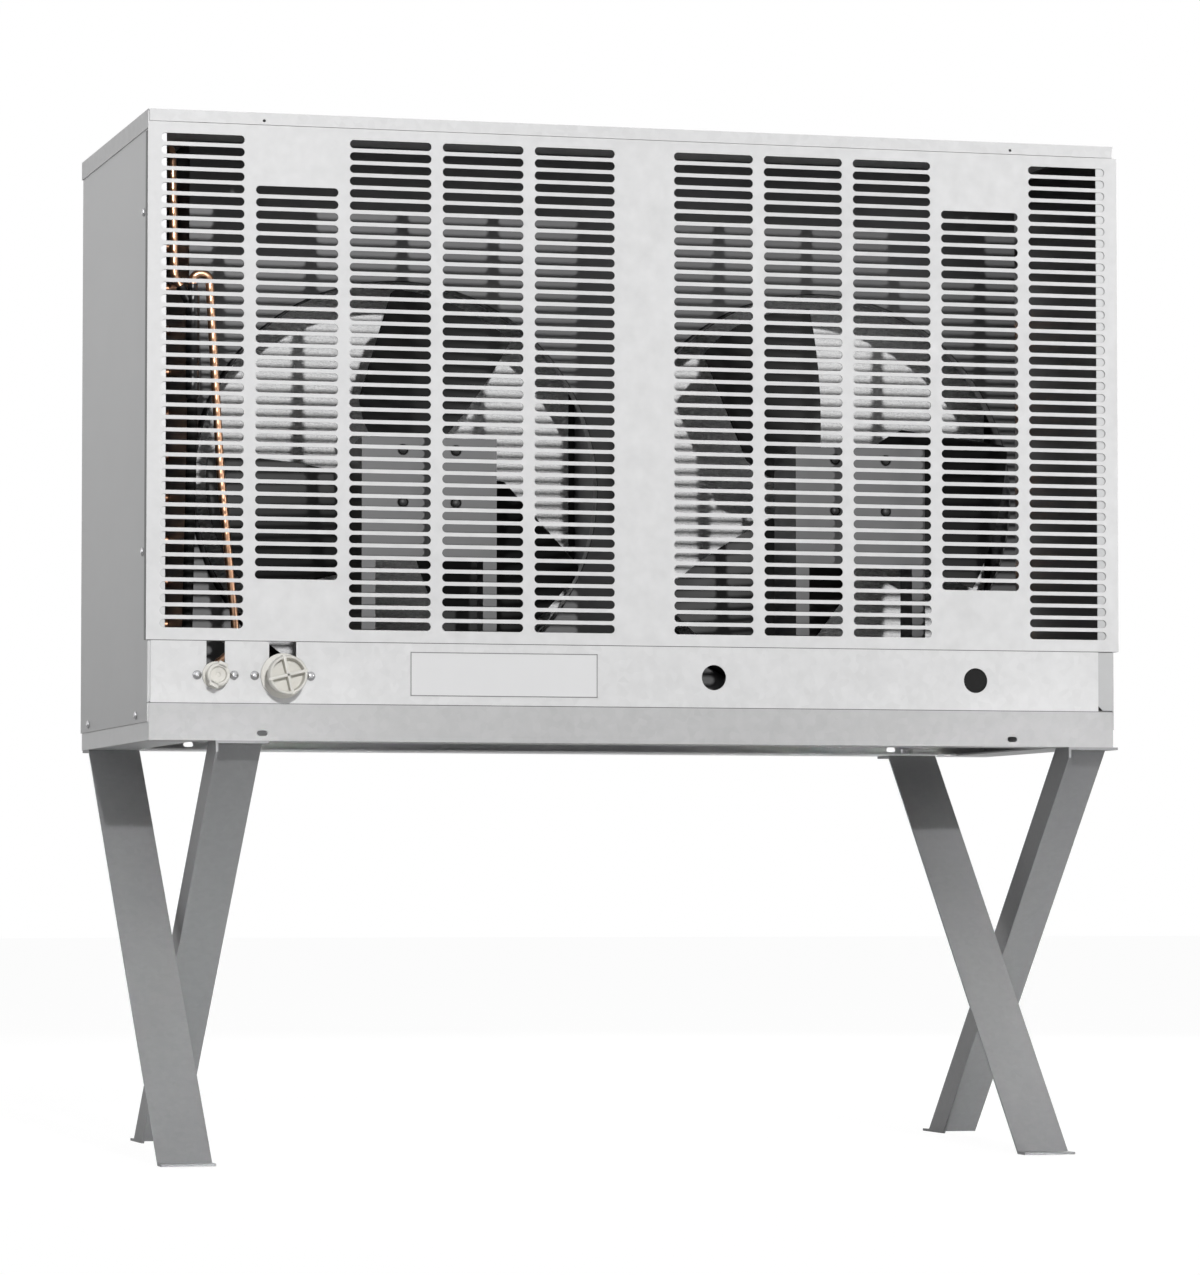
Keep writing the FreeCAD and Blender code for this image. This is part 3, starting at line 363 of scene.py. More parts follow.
# %% [markdown]
# ## Helpers for new pieces
# A new piece is shaped in a bmesh and then becomes an object whose place is in its mesh, as the
# solids have theirs. The numbers are millimetres, with the depth counted from the grille's face, as
# on a workshop drawing, and one helper turns them into Blender's metres.

# %% Make a piece from a bmesh
FRONT = 225.0
SHARP_ANGLE = 35.0


def at(x, depth, z):
    """A place on the object: sideways, back from the grille's face, and above the floor."""
    return Vector((x, depth - FRONT, z)) * MM


def make_piece(name, shape, material, body, replaced=()):
    """Turn a bmesh into a piece of one body, in place of the solids that it replaces."""
    bmesh.ops.recalc_face_normals(shape, faces=shape.faces)
    mesh = bpy.data.meshes.new(name)
    shape.to_mesh(mesh)
    shape.free()
    mesh.materials.append(material)
    made = bpy.data.objects.new(name, mesh)
    bpy.context.scene.collection.objects.link(made)
    mesh.polygons.foreach_set("use_smooth", [True] * len(mesh.polygons))
    mesh.set_sharp_from_angle(angle=math.radians(SHARP_ANGLE))
    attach(made, body)
    if replaced:
        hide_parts(*replaced)
    print(name, "has", len(mesh.polygons), "faces")


def move(shape, verts, offset):
    """Shift some corners of a bmesh."""
    bmesh.ops.translate(shape, verts=verts, vec=offset)


def soften(shape, verts, width):
    """Round the sharp edges of a new form a little."""
    edges = list({edge for vert in verts for edge in vert.link_edges})
    bmesh.ops.bevel(shape, geom=edges, offset=width * MM, segments=2, profile=0.5,
                    affect="EDGES", material=-1)


def add_block(shape, low, high, bevel=0.0):
    """Add a closed box between two corners."""
    made = bmesh.ops.create_cube(shape, size=1.0)["verts"]
    bmesh.ops.scale(shape, verts=made, vec=high - low)
    move(shape, made, (low + high) / 2)
    if bevel:
        soften(shape, made, bevel)


# %% [markdown]
# ## Turned pieces
# Screw heads, motors, hubs, caps and couplings are all round about one axis. Each is drawn as half of
# its section, which the spin operator sweeps round. The points on the axis are merged afterwards, so
# that the poles are closed.

# %% Turn a section about an axis
MERGE_GAP = 0.001


def add_turned(shape, place, along, section, steps, closed=False):
    """Spin a section, whose points are a distance along the axis and a radius, about the axis."""
    before = set(shape.verts)
    verts = [shape.verts.new((radius * MM, 0, reach * MM)) for reach, radius in section]
    pairs = list(zip(verts, verts[1:] + verts[:1])) if closed else list(zip(verts, verts[1:]))
    edges = [shape.edges.new(pair) for pair in pairs]
    bmesh.ops.spin(shape, geom=verts + edges, cent=(0, 0, 0), axis=(0, 0, 1), angle=math.tau,
                   steps=steps, use_merge=True)
    made = [vert for vert in shape.verts if vert not in before]
    bmesh.ops.remove_doubles(shape, verts=made, dist=MERGE_GAP * MM)
    made = [vert for vert in shape.verts if vert not in before]
    turn = Vector((0, 0, 1)).rotation_difference(Vector(along)).to_matrix()
    bmesh.ops.rotate(shape, verts=made, cent=(0, 0, 0), matrix=turn)
    move(shape, made, place)


# %% [markdown]
# ## Bent pipes
# A pipe starts as a disc at one end. It is extruded along each straight run and spun round each bend,
# which is how a pipe bender works, so the section stays round everywhere.

# %% Bend a pipe
STRAIGHT_ANGLE = 0.001


def add_pipe(shape, route, radius, bend, sides=20, bend_steps=10):
    """Sweep a disc along a route with a round bend at each corner."""
    start = (route[1] - route[0]).normalized()
    turn = Vector((0, 0, 1)).rotation_difference(start).to_matrix().to_4x4()
    disc = bmesh.ops.create_circle(shape, cap_ends=True, segments=sides, radius=radius * MM,
                                   matrix=Matrix.Translation(route[0]) @ turn)
    face = disc["verts"][0].link_faces[0]
    here = route[0]
    for number in range(1, len(route)):
        corner = route[number]
        onwards = (corner - here).normalized()
        last = number == len(route) - 1
        following = onwards if last else (route[number + 1] - corner).normalized()
        angle = onwards.angle(following)
        reach = 0.0 if angle < STRAIGHT_ANGLE else bend * MM * math.tan(angle / 2)
        run = corner - onwards * reach - here
        face = extrude_face(shape, face, run)
        here = here + run
        if reach:
            inward = (following - onwards * following.dot(onwards)).normalized()
            centre = here + inward * bend * MM
            spun = bmesh.ops.spin(shape, geom=[face], cent=centre, axis=onwards.cross(following),
                                  angle=angle, steps=bend_steps, use_merge=False)["geom_last"]
            face = next(part for part in spun if isinstance(part, bmesh.types.BMFace))
            here = corner + following * reach


def extrude_face(shape, face, run):
    """Push one face along and give back the face at the far end."""
    pushed = bmesh.ops.extrude_face_region(shape, geom=[face])["geom"]
    move(shape, [part for part in pushed if isinstance(part, bmesh.types.BMVert)], run)
    return next(part for part in pushed if isinstance(part, bmesh.types.BMFace))


# %% [markdown]
# ## Flat sheet with holes
# The outline and every hole are loops of edges in one flat bmesh. One fill turns them into a face
# with holes, and pushing that face back gives the sheet its thickness.

# %% Cut a sheet
UPRIGHT = Matrix.Rotation(math.radians(90), 4, "X")


def add_loop(shape, corners):
    """Join corners in a closed loop of edges."""
    verts = [shape.verts.new(corner) for corner in corners]
    for pair in zip(verts, verts[1:] + verts[:1]):
        shape.edges.new(pair)


def add_rectangle(shape, left, right, foot, head):
    """Draw an upright rectangle."""
    add_loop(shape, [at(left, FRONT, foot), at(right, FRONT, foot),
                     at(right, FRONT, head), at(left, FRONT, head)])


def add_round_hole(shape, x, z, radius, steps=96):
    """Draw an upright circle."""
    bmesh.ops.create_circle(shape, segments=steps, radius=radius * MM,
                            matrix=Matrix.Translation(at(x, FRONT, z)) @ UPRIGHT)


def fill_sheet(shape, front, back):
    """Fill the loops and push the face from one depth to another."""
    bmesh.ops.triangle_fill(shape, use_beauty=True, edges=shape.edges)
    pushed = bmesh.ops.extrude_face_region(shape, geom=shape.faces)["geom"]
    behind = [part for part in pushed if isinstance(part, bmesh.types.BMVert)]
    move(shape, behind, (0, (back - front) * MM, 0))
    move(shape, shape.verts, (0, (front - FRONT) * MM, 0))


# %% [markdown]
# ## The grille
# The real grille is one sheet with hundreds of slots struck by a round-ended punch, and its edges are
# turned back to stiffen it. Each slot is one stretched circle, so its ends are true half rounds.

# %% Punch the grille
SHEET = 1.5
SLOT_PITCH = 14.0
SLOT_HEIGHT = 9.8
SLOT_LENGTH = 95.0
COLUMN_PITCH = 108.0
FIRST_COLUMN = 82.8
ROWS = 40
COLUMNS = 5
SHORT_COLUMN = 3
SHORT_BY = 4
FIRST_ROW = 18.5
GRILLE_HALF = 577.5
GRILLE_FOOT = 582.0
GRILLE_HEAD = 1164.0
GRILLE_RETURN = 14.0
SIDE_RETURN_HEAD = 1154.0
END_RETURN_LEFT, END_RETURN_RIGHT = -554.5, 550.5
SLOT_SIDES = 16


def add_slot(shape, x, z):
    """Draw one round-ended slot: a circle pulled apart in its middle."""
    loop = bmesh.ops.create_circle(shape, segments=SLOT_SIDES, radius=SLOT_HEIGHT / 2 * MM,
                                   matrix=UPRIGHT)["verts"]
    bmesh.ops.rotate(shape, verts=loop, matrix=Matrix.Rotation(math.tau / SLOT_SIDES / 2, 3, "Y"))
    stretch = (SLOT_LENGTH - SLOT_HEIGHT) / 2 * MM
    for side in (-1, 1):
        move(shape, [vert for vert in loop if vert.co.x * side > 0], (side * stretch, 0, 0))
    move(shape, loop, at(x, FRONT, z))


def punch_grille():
    """The slotted sheet with its four edges turned back."""
    shape = bmesh.new()
    add_rectangle(shape, -GRILLE_HALF, GRILLE_HALF, GRILLE_FOOT, GRILLE_HEAD)
    for side in (-1, 1):
        for column in range(COLUMNS):
            skipped = SHORT_BY if column == SHORT_COLUMN else 0
            for row in range(skipped, ROWS - skipped):
                add_slot(shape, side * (FIRST_COLUMN + column * COLUMN_PITCH),
                         GRILLE_FOOT + FIRST_ROW + row * SLOT_PITCH)
    fill_sheet(shape, 0, SHEET)
    for left, right, foot, head in (
            (-GRILLE_HALF, SHEET - GRILLE_HALF, GRILLE_FOOT, SIDE_RETURN_HEAD),
            (GRILLE_HALF - SHEET, GRILLE_HALF, GRILLE_FOOT, SIDE_RETURN_HEAD),
            (END_RETURN_LEFT, END_RETURN_RIGHT, GRILLE_HEAD - SHEET, GRILLE_HEAD),
            (END_RETURN_LEFT, END_RETURN_RIGHT, GRILLE_FOOT, GRILLE_FOOT + SHEET)):
        add_block(shape, at(left, SHEET, foot), at(right, GRILLE_RETURN, head))
    return shape


make_piece("grille", punch_grille(), grille_steel, "cabinet", ["front_grille"])

# %% [markdown]
# ## The fan shroud
# Behind the grille stands a box whose front sheet has one large hole for each fan. The edge of each
# hole is drawn forwards into a short neck, which guides the air past the blade tips. The plate is cut
# from a filled outline, the walls are folded sheet, and each neck is a turned ring.

# %% Build the shroud
FAN_PLACES = {"left": -243.6, "right": 273.0}
FAN_LEVEL = 774.5
NECK = 241.0
SHROUD_LEFT, SHROUD_RIGHT = -488.8, 529.0
SHROUD_FOOT, SHROUD_HEAD = 513.0, 1175.0
PLATE_FRONT, PLATE_BACK = 220.0, 221.5
HOLE_ROOM = 3.0
SIDE_WALL_BACK, END_WALL_BACK = 330.0, 309.5


def build_shroud():
    """The plate with its two fan holes, and the four walls behind it."""
    shape = bmesh.new()
    add_rectangle(shape, SHROUD_LEFT, SHROUD_RIGHT, SHROUD_FOOT, SHROUD_HEAD)
    for x in FAN_PLACES.values():
        add_round_hole(shape, x, FAN_LEVEL, NECK + HOLE_ROOM)
    fill_sheet(shape, PLATE_FRONT, PLATE_BACK)
    for left, right, foot, head, back in (
            (SHROUD_LEFT, SHROUD_LEFT + SHEET, SHROUD_FOOT, SHROUD_HEAD, SIDE_WALL_BACK),
            (SHROUD_RIGHT - SHEET, SHROUD_RIGHT, SHROUD_FOOT, SHROUD_HEAD, SIDE_WALL_BACK),
            (SHROUD_LEFT, SHROUD_RIGHT, SHROUD_FOOT, SHROUD_FOOT + SHEET, END_WALL_BACK),
            (SHROUD_LEFT, SHROUD_RIGHT, SHROUD_HEAD - SHEET, SHROUD_HEAD, END_WALL_BACK)):
        add_block(shape, at(left, PLATE_BACK, foot), at(right, back, head))
    return shape


make_piece("shroud", build_shroud(), shaded_inner_steel, "cabinet", ["fan_shroud"])

# %% [markdown]
# ## The bay's back and the necks
# A plain sheet closes the pipes' bay at the back, so no daylight shows through the first column of
# slots. Each neck is a thin ring with a rolled front edge and a flared root.

# %% Close the back of the left bay
BAY_LEFT, BAY_RIGHT = -572.0, -489.0
BAY_FOOT, BAY_HEAD = 513.0, 1156.0
BAY_BACK = 445.0
bay_cover = bmesh.new()
add_block(bay_cover, at(BAY_LEFT, BAY_BACK, BAY_FOOT), at(BAY_RIGHT, BAY_BACK + SHEET, BAY_HEAD))
make_piece("bay_cover", bay_cover, shaded_inner_steel, "cabinet")

# %% Turn the two necks
NECK_FRONT = 200.0
NECK_RING = [(0.0, 0.0), (-0.3, 0.75), (0.0, SHEET), (16.0, SHEET), (19.0, 2.4), (20.0, 3.4), (21.4, 3.4),
             (20.4, 1.6), (17.0, 0.0)]
necks = bmesh.new()
for x in FAN_PLACES.values():
    add_turned(necks, at(x, NECK_FRONT, FAN_LEVEL), (0, 1, 0),
               [(reach, NECK + rise) for reach, rise in NECK_RING], steps=128, closed=True)
# The necks wear a near-black finish, which is painted shade.
make_piece("necks", necks, shaded_neck_steel, "cabinet")

# %% [markdown]
# ## The coil
# The coil is a block of thin aluminium fins on copper tubes. A fin is a tenth of a millimetre thick,
# so the block is one solid with a crinkled finish. Its back face, which is open to view, carries real
# fin edges that stand close together.

# %% Stand the fin edges up
FIN_PITCH = 3.2
FIN_SHEET = 0.3
FIN_FOOT, FIN_HEAD = 518.2, 1170.3
FIN_LEFT, FIN_SPAN = -485.6, 1010.9
CORE_FRONT, CORE_BACK, FIN_BACK = 310.1, 408.7, 409.9


def stand_fins():
    """A row of thin strips on the back of the block."""
    shape = bmesh.new()
    for number in range(int(FIN_SPAN / FIN_PITCH)):
        x = FIN_LEFT + number * FIN_PITCH
        add_block(shape, at(x, CORE_BACK, FIN_FOOT), at(x + FIN_SHEET, FIN_BACK, FIN_HEAD))
    return shape


make_piece("fin_edges", stand_fins(), fin_edge, "cabinet")

# %% [markdown]
# ## The block, its tubes and their bends
# Twelve tubes run across the block. A hairpin joins each pair at the right end, and at the left end
# the hairpins lie one row further up, so the refrigerant passes through every tube in turn.

# %% Put the fin block and the tubes in
CORE_LEFT, CORE_RIGHT = -485.7, 525.9
CORE_FOOT, CORE_HEAD = 518.1, 1170.4
TUBE_LEFT, TUBE_RIGHT = -494.8, 535.0
TUBE_RUN = TUBE_RIGHT - TUBE_LEFT
TUBE_DEPTH = 360.0
TUBE_RADIUS = 6.0
TUBE_COUNT = 12
COIL_ROWS = [568.0 + 50.0 * row for row in range(TUBE_COUNT)]
core = bmesh.new()
add_block(core, at(CORE_LEFT, CORE_FRONT, CORE_FOOT), at(CORE_RIGHT, CORE_BACK, CORE_HEAD))
make_piece("fin_block", core, fin_metal, "cabinet", ["coil_fins"])
tubes = bmesh.new()
for level in COIL_ROWS:
    add_turned(tubes, at(TUBE_LEFT, TUBE_DEPTH, level), (1, 0, 0),
               [(0, 0), (0, TUBE_RADIUS), (TUBE_RUN, TUBE_RADIUS), (TUBE_RUN, 0)], steps=20)
make_piece("coil_pipes", tubes, collar_metal, "cabinet", ["coil_tubes"])

# %% Join the tubes with hairpins
BEND_GAP = 0.01


def add_hairpin(shape, x, outward, low, high):
    """One hairpin end: out, round and back."""
    reach = (high - low) / 2
    far = x + outward * reach
    route = [at(x, TUBE_DEPTH, low), at(far, TUBE_DEPTH, low),
             at(far, TUBE_DEPTH, high), at(x, TUBE_DEPTH, high)]
    add_pipe(shape, route, TUBE_RADIUS, reach - BEND_GAP, sides=16, bend_steps=8)


for side, x, outward, first_row in (("left", TUBE_LEFT, -1, 1), ("right", TUBE_RIGHT, 1, 0)):
    bends = bmesh.new()
    for row in range(first_row, TUBE_COUNT - 1, 2):
        add_hairpin(bends, x, outward, COIL_ROWS[row], COIL_ROWS[row + 1])
    make_piece("hairpins_" + side, bends, copper, "cabinet", ["return_bends_" + side])

# %% [markdown]
# ## Motors, hubs and their fixings
# A small fan motor is a steel drum with a pressed bell at each end, two shallow grooves round it and a
# boss that holds the bearing. It is bolted to its stand through rubber bushes, whose dark rings show
# from the front.

# %% Turn the motors and hubs
BRACKET_BACK, HUB_FRONT = 42, 183
MOTOR_HALF = [(0.2, 0), (0.2, 44), (1.0, 46.5), (3.0, 47.8),
              (24.0, 47.8), (24.6, 47.0), (25.6, 47.0), (26.2, 47.8),
              (56.0, 47.8), (56.6, 47.0), (57.6, 47.0), (58.2, 47.8),
              (75.0, 47.8), (77.0, 46.5), (77.8, 44), (77.8, 24),
              (79.0, 20), (84.5, 19.6), (85.8, 18), (85.8, 6.2), (80.0, 6.2), (80.0, 0)]
HUB_RING = [(0, 6.2), (0, 12), (2.0, 13), (2.0, 30), (0.2, 33), (0.6, 36.6), (2.0, 37.9), (32.0, 37.9),
            (33.8, 36.0), (33.8, 6.2)]
for side, x in FAN_PLACES.items():
    motor = bmesh.new()
    add_turned(motor, at(x, BRACKET_BACK, FAN_LEVEL), (0, 1, 0), MOTOR_HALF, steps=64)
    make_piece("motor_case_" + side, motor, satin_black, "cabinet", ["motor_" + side])
    hub = bmesh.new()
    add_turned(hub, at(x, HUB_FRONT, FAN_LEVEL), (0, 1, 0), HUB_RING, steps=64, closed=True)
    make_piece("hub_" + side, hub, satin_black, "fan_" + side, ["fan_hub_" + side])

# %% Set the bushes and bolts
BRACKET_FRONT = 40
HOLE_SPREAD, HOLE_RISE = 31, 30
BUSH_RING = [(0, 2.7), (0, 6.6), (0.4, 7.0), (1.6, 7.0), (2.0, 6.6), (2.0, 2.7)]
BOLT_HALF = [(-12, 0), (-12, 2.4), (0, 2.4), (0, 4.0), (0.4, 4.3), (1.6, 4.1), (2.6, 2.8), (2.9, 0)]
MOTOR_HOLES = [(x + dx, FAN_LEVEL + dz) for x in FAN_PLACES.values()
               for dx in (-HOLE_SPREAD, HOLE_SPREAD) for dz in (-HOLE_RISE, HOLE_RISE)]
bushes = bmesh.new()
bolts = bmesh.new()
for x, z in MOTOR_HOLES:
    add_turned(bushes, at(x, BRACKET_BACK, z), (0, -1, 0), BUSH_RING, steps=24, closed=True)
    add_turned(bolts, at(x, BRACKET_FRONT, z), (0, -1, 0), BOLT_HALF, steps=24)
make_piece("bushes", bushes, rubber_black, "cabinet", ["motor_grommets"])
make_piece("motor_fixings", bolts, bolt_black, "cabinet", ["motor_bolts"])

# %% [markdown]
# ## Pipes in the left bay
# The copper riser, the valve and the lines to the couplings show through the first column of slots.
# Their routes are those of the solids, and every corner gets the radius of its bending tool. A route
# lists its corners as sideways, depth and height. The valve stands at the head of the dark pipe, with
# a short port that leans towards the riser.

# %% Run the pipes
LINE_RADIUS, LINE_BEND, ARCH_BEND = 4.8, 14.4, 8.9
RISER = [(-530, 330, 585), (-530, 330, 1150), (-530, 110, 1150), (-527, 110, 1004.8), (-520, 110, 992.2)]
BRANCH = [(-494.8, 360, 1118), (-530, 360, 1118), (-530, 330, 1118)]
LIQUID = [(-505.5, 110, 995), (-505.5, 110, 1007), (-486.5, 110, 1007), (-472.5, 110, 782),
          (-452.5, 110, 580), (-498.5, 90, 543), (-498.5, 46, 543)]
DRAIN = [(-494.8, 360, 568), (-513, 360, 568), (-511, 110, 568), (-505.5, 110, 832), (-505.5, 110, 862)]
HOSE = [(-422, 61, 543), (-422, 110, 543), (-530, 150, 543), (-530, 330, 543), (-530, 330, 585)]
pipework = (
    ("riser", [(RISER, LINE_RADIUS, LINE_BEND), (BRANCH, LINE_RADIUS, LINE_BEND)],
     copper, "copper", "discharge_line"),
    ("liquid_pipe", [(LIQUID, LINE_RADIUS, ARCH_BEND)], copper, "copper", "liquid_line"),
    ("dark_pipe", [(DRAIN, 6.0, 12.0)], rubber_black, "hose_black", "condensate_line"),
    ("sleeved_pipe", [(HOSE, 7.0, 21.0)], rubber_black, "hose_black", "gas_hose"),
)
for name, runs, material, slot, node in pipework:
    pipe = bmesh.new()
    for route, radius, bend in runs:
        add_pipe(pipe, [at(*corner) for corner in route], radius, bend)
    make_piece(name, pipe, material, "cabinet", [node])

# %% Turn the valve
VALVE_PLACE, VALVE_FOOT, PORT_LEVEL = (-505.5, 110), 862, 966
PORT_LEAN = 29
VALVE_HALF = [(0, 0), (0, 5), (3, 7.6), (5, 8.1), (44, 8.1), (45, 7.4), (50, 7.4), (51, 8.1), (118, 8.1),
              (121, 7.6), (126, 5.9), (133, 5.9), (133, 0)]
PORT_HALF = [(0, 0), (0, 5.9), (29, 5.9), (29.8, 5.0), (29.8, 0)]
valve = bmesh.new()
add_turned(valve, at(*VALVE_PLACE, VALVE_FOOT), (0, 0, 1), VALVE_HALF, steps=32)
port_way = (-math.tan(math.radians(PORT_LEAN)), 0, 1)
add_turned(valve, at(*VALVE_PLACE, PORT_LEVEL), port_way, PORT_HALF, steps=24)
make_piece("valve", valve, valve_black, "cabinet", ["control_valve"])

# %% [markdown]
# ## Couplings, caps and screws
# Each coupling's nose sits in a notch of the connection panel, between two dome-headed screws, under
# a cream plastic cap. Behind the panel a flange with two round ears takes the screws. The body has a
# groove just behind that flange.

# %% Turn the couplings
LEVEL = 543.0
COUPLINGS = {
    "small": {"x": -498.5, "radius": 9.85, "ear_reach": 21.0, "nose": 10.0, "tail": 46.0},
    "large": {"x": -422.0, "radius": 14.85, "ear_reach": 32.0, "nose": 17.0, "tail": 61.0},
}
EAR = 6.9
EAR_SHEET = 3.8
EAR_FRONT, FLANGE_BACK = SHEET + 0.05, 5.4
GROOVE = 1.2


def add_coupling(shape, x, radius, ear_reach, nose, tail):
    """One coupling half: the turned body, and the flange with its two ears."""
    end = nose + tail
    add_turned(shape, at(x, -nose, LEVEL), (0, 1, 0), [
        (0.1, 0), (0.1, radius - 1.5), (1.2, radius), (nose + 8, radius),
        (nose + 9, radius - GROOVE), (nose + 12, radius - GROOVE), (nose + 13, radius),
        (end - 1.5, radius), (end - 0.1, radius - 1.5), (end - 0.1, 0)], steps=48)
    add_block(shape, at(x - ear_reach, EAR_FRONT, LEVEL - EAR),
              at(x + ear_reach, FLANGE_BACK, LEVEL + EAR), bevel=0.4)
    for side in (-ear_reach, ear_reach):
        add_turned(shape, at(x + side, EAR_FRONT, LEVEL), (0, 1, 0),
                   [(0, 0), (0, EAR), (EAR_SHEET, EAR), (EAR_SHEET, 0)], steps=32)


for name, sizes in COUPLINGS.items():
    body = bmesh.new()
    add_coupling(body, **sizes)
    make_piece("fitting_" + name, body, brass, "cabinet", ["coupling_" + name])

# %% Turn the screws beside the caps
CAP_SCREW_HALF = [(-5.4, 0), (-5.4, 2.4), (0.05, 2.4), (0.05, 5.0), (0.5, 5.2), (1.4, 5.1), (2.6, 4.3),
                  (3.5, 2.9), (3.9, 2.0), (3.9, 1.6), (3.2, 1.5), (3.2, 0)]
screws = bmesh.new()
for sizes in COUPLINGS.values():
    for side in (-sizes["ear_reach"], sizes["ear_reach"]):
        add_turned(screws, at(sizes["x"] + side, 0, LEVEL), (0, -1, 0), CAP_SCREW_HALF, steps=32)
make_piece("cap_screws", screws, chrome, "cabinet", ["coupling_screws"])

# %% [markdown]
# ## The two dust caps
# Each cap is a cup with a wide ring at its root. The small one has a round recess and two grip lobes.
# The large one is deeper and is crossed by two ribs that stand just proud of its rim.

# %% Mould the small cap
RIB_BEVEL = 0.5
SMALL_CAP_HALF = [
    (10.1, 0), (10.1, 10.3), (0.4, 10.3), (0.4, 15.1), (0.7, 15.4), (2.4, 15.4), (2.9, 15.0), (3.2, 13.2),
    (3.8, 11.4), (11.6, 11.3), (12.2, 12.6), (12.8, 12.9), (18.4, 12.9), (19.4, 12.5), (19.9, 11.6),
    (19.9, 10.0), (19.5, 9.2), (18.8, 8.9), (15.5, 8.7), (15.1, 8.2), (15.05, 3.2), (14.8, 2.6),
    (14.2, 2.2), (14.1, 0)]
SMALL_LOBE_TURNS = (65, 245)


def add_rib(shape, x, start, end, half_width, front, back, turn):
    """A radial rib on a cap: a softened block, turned about the cap's axis and set in place."""
    before = set(shape.verts)
    add_block(shape, at(start, front, -half_width), at(end, back, half_width), bevel=RIB_BEVEL)
    made = [vert for vert in shape.verts if vert not in before]
    bmesh.ops.rotate(shape, verts=made, cent=(0, 0, 0),
                     matrix=Matrix.Rotation(math.radians(turn), 3, (0, -1, 0)))
    move(shape, made, (x * MM, 0, LEVEL * MM))


small_x = COUPLINGS["small"]["x"]
small_cap = bmesh.new()
add_turned(small_cap, at(small_x, 0, LEVEL), (0, -1, 0), SMALL_CAP_HALF, steps=64)
for turn in SMALL_LOBE_TURNS:
    add_rib(small_cap, small_x, 9.4, 14.9, 5.4, -19.9, -13.1, turn)
make_piece("cap_small_mould", small_cap, cap_white, "cap_small", ["dust_cap_small"])

# %% Mould the large cap
LARGE_CAP_HALF = [
    (17.1, 0), (17.1, 15.3), (0.4, 15.3), (0.4, 25.1), (0.8, 25.4), (2.3, 25.4), (2.8, 25.0), (3.1, 22.3),
    (3.8, 17.6), (20.0, 17.4), (20.6, 21.2), (21.4, 21.9), (31.6, 21.9), (33.2, 21.4), (33.9, 20.4),
    (33.9, 19.6), (33.4, 18.8), (32.4, 18.5), (24.2, 18.3), (23.1, 17.4), (23.05, 0)]
LARGE_RIB_TURNS = (14, 104)
large_x = COUPLINGS["large"]["x"]
large_cap = bmesh.new()
add_turned(large_cap, at(large_x, 0, LEVEL), (0, -1, 0), LARGE_CAP_HALF, steps=72)
for turn in LARGE_RIB_TURNS:
    add_rib(large_cap, large_x, -22.7, 22.7, 1.7, -33.95, -23.1, turn)
make_piece("cap_large_mould", large_cap, cap_white, "cap_large", ["dust_cap_large"])

# %% [markdown]
# ## Screws in the side panels and the rubber disc
# Pan-head screws hold the side panels. Their heads catch the light, so each is turned with a soft
# dome. A rubber disc with a raised edge blanks the second cable hole.

# %% Turn the side screws
SIDE_SCREW_SEATS = ((-575.5, -1), (571.5, 1))
SIDE_SCREW_PLACES = ((34, 682), (34, 1065), (72.4, 499.5), (393.6, 499.5))
SIDE_SCREW_HALF = [(-7.9, 0), (-7.9, 1.9), (0, 1.9), (0, 4.5), (0.5, 4.75), (1.2, 4.6), (2.0, 3.7),
                   (2.4, 2.2), (2.5, 0)]
side_screws = bmesh.new()
for seat, outward in SIDE_SCREW_SEATS:
    for depth, level in SIDE_SCREW_PLACES:
        add_turned(side_screws, at(seat, depth, level), (outward, 0, 0), SIDE_SCREW_HALF, steps=28)
make_piece("side_screws", side_screws, chrome, "cabinet", ["panel_screws"])

# %% Turn the rubber disc in the second cable hole
DISC_HALF = [(0, 0), (0, 14.4), (0.9, 14.4), (0.9, 12.6), (0.6, 12.2), (0.6, 0)]
disc = bmesh.new()
add_turned(disc, at(400.1, SHEET - 0.1, 546.5), (0, -1, 0), DISC_HALF, steps=64)
make_piece("hole_disc", disc, rubber_black, "cabinet", ["hole_plug"])

# %% [markdown]
# ## Seams between the sheets
# The connection panel meets the rail below it and the grille above it with a hair's breadth between
# them. From a distance each gap reads as one thin dark line of shade, so a narrow dark strip of
# painted shade fills it.

# %% Shade the seams
RAIL_SEAM, GRILLE_SEAM = 511.7, GRILLE_FOOT - 0.2
SEAM_LEFT, SEAM_RIGHT = -576.5, 570.0
seams = bmesh.new()
for level in (RAIL_SEAM, GRILLE_SEAM):
    add_block(seams, at(SEAM_LEFT, -0.04, level - 0.5), at(SEAM_RIGHT, 0.3, level + 0.3))
make_piece("seams", seams, seam_painted_shade, "cabinet")

# %% [markdown]
# ## The bare plate
# A pale plate is stuck to the connection panel. It is plain, with only a thin dark line as a border.

# %% Stick the plate on
PLATE_LEFT, PLATE_RIGHT = -274.8, -55.9
PLATE_FOOT, PLATE_HEAD = 521.8, 571.7
BORDER = 1.1
plate = bmesh.new()
add_block(plate, at(PLATE_LEFT, -0.35, PLATE_FOOT), at(PLATE_RIGHT, 0, PLATE_HEAD))
make_piece("plate", plate, plate_white, "cabinet")
border = bmesh.new()
for left, right, foot, head in (
        (PLATE_LEFT, PLATE_RIGHT, PLATE_FOOT, PLATE_FOOT + BORDER),
        (PLATE_LEFT, PLATE_RIGHT, PLATE_HEAD - BORDER, PLATE_HEAD),
        (PLATE_LEFT, PLATE_LEFT + BORDER, PLATE_FOOT, PLATE_HEAD),
        (PLATE_RIGHT - BORDER, PLATE_RIGHT, PLATE_FOOT, PLATE_HEAD)):
    add_block(border, at(left, -0.45, foot), at(right, -0.34, head))
make_piece("plate_border", border, border_grey, "cabinet")

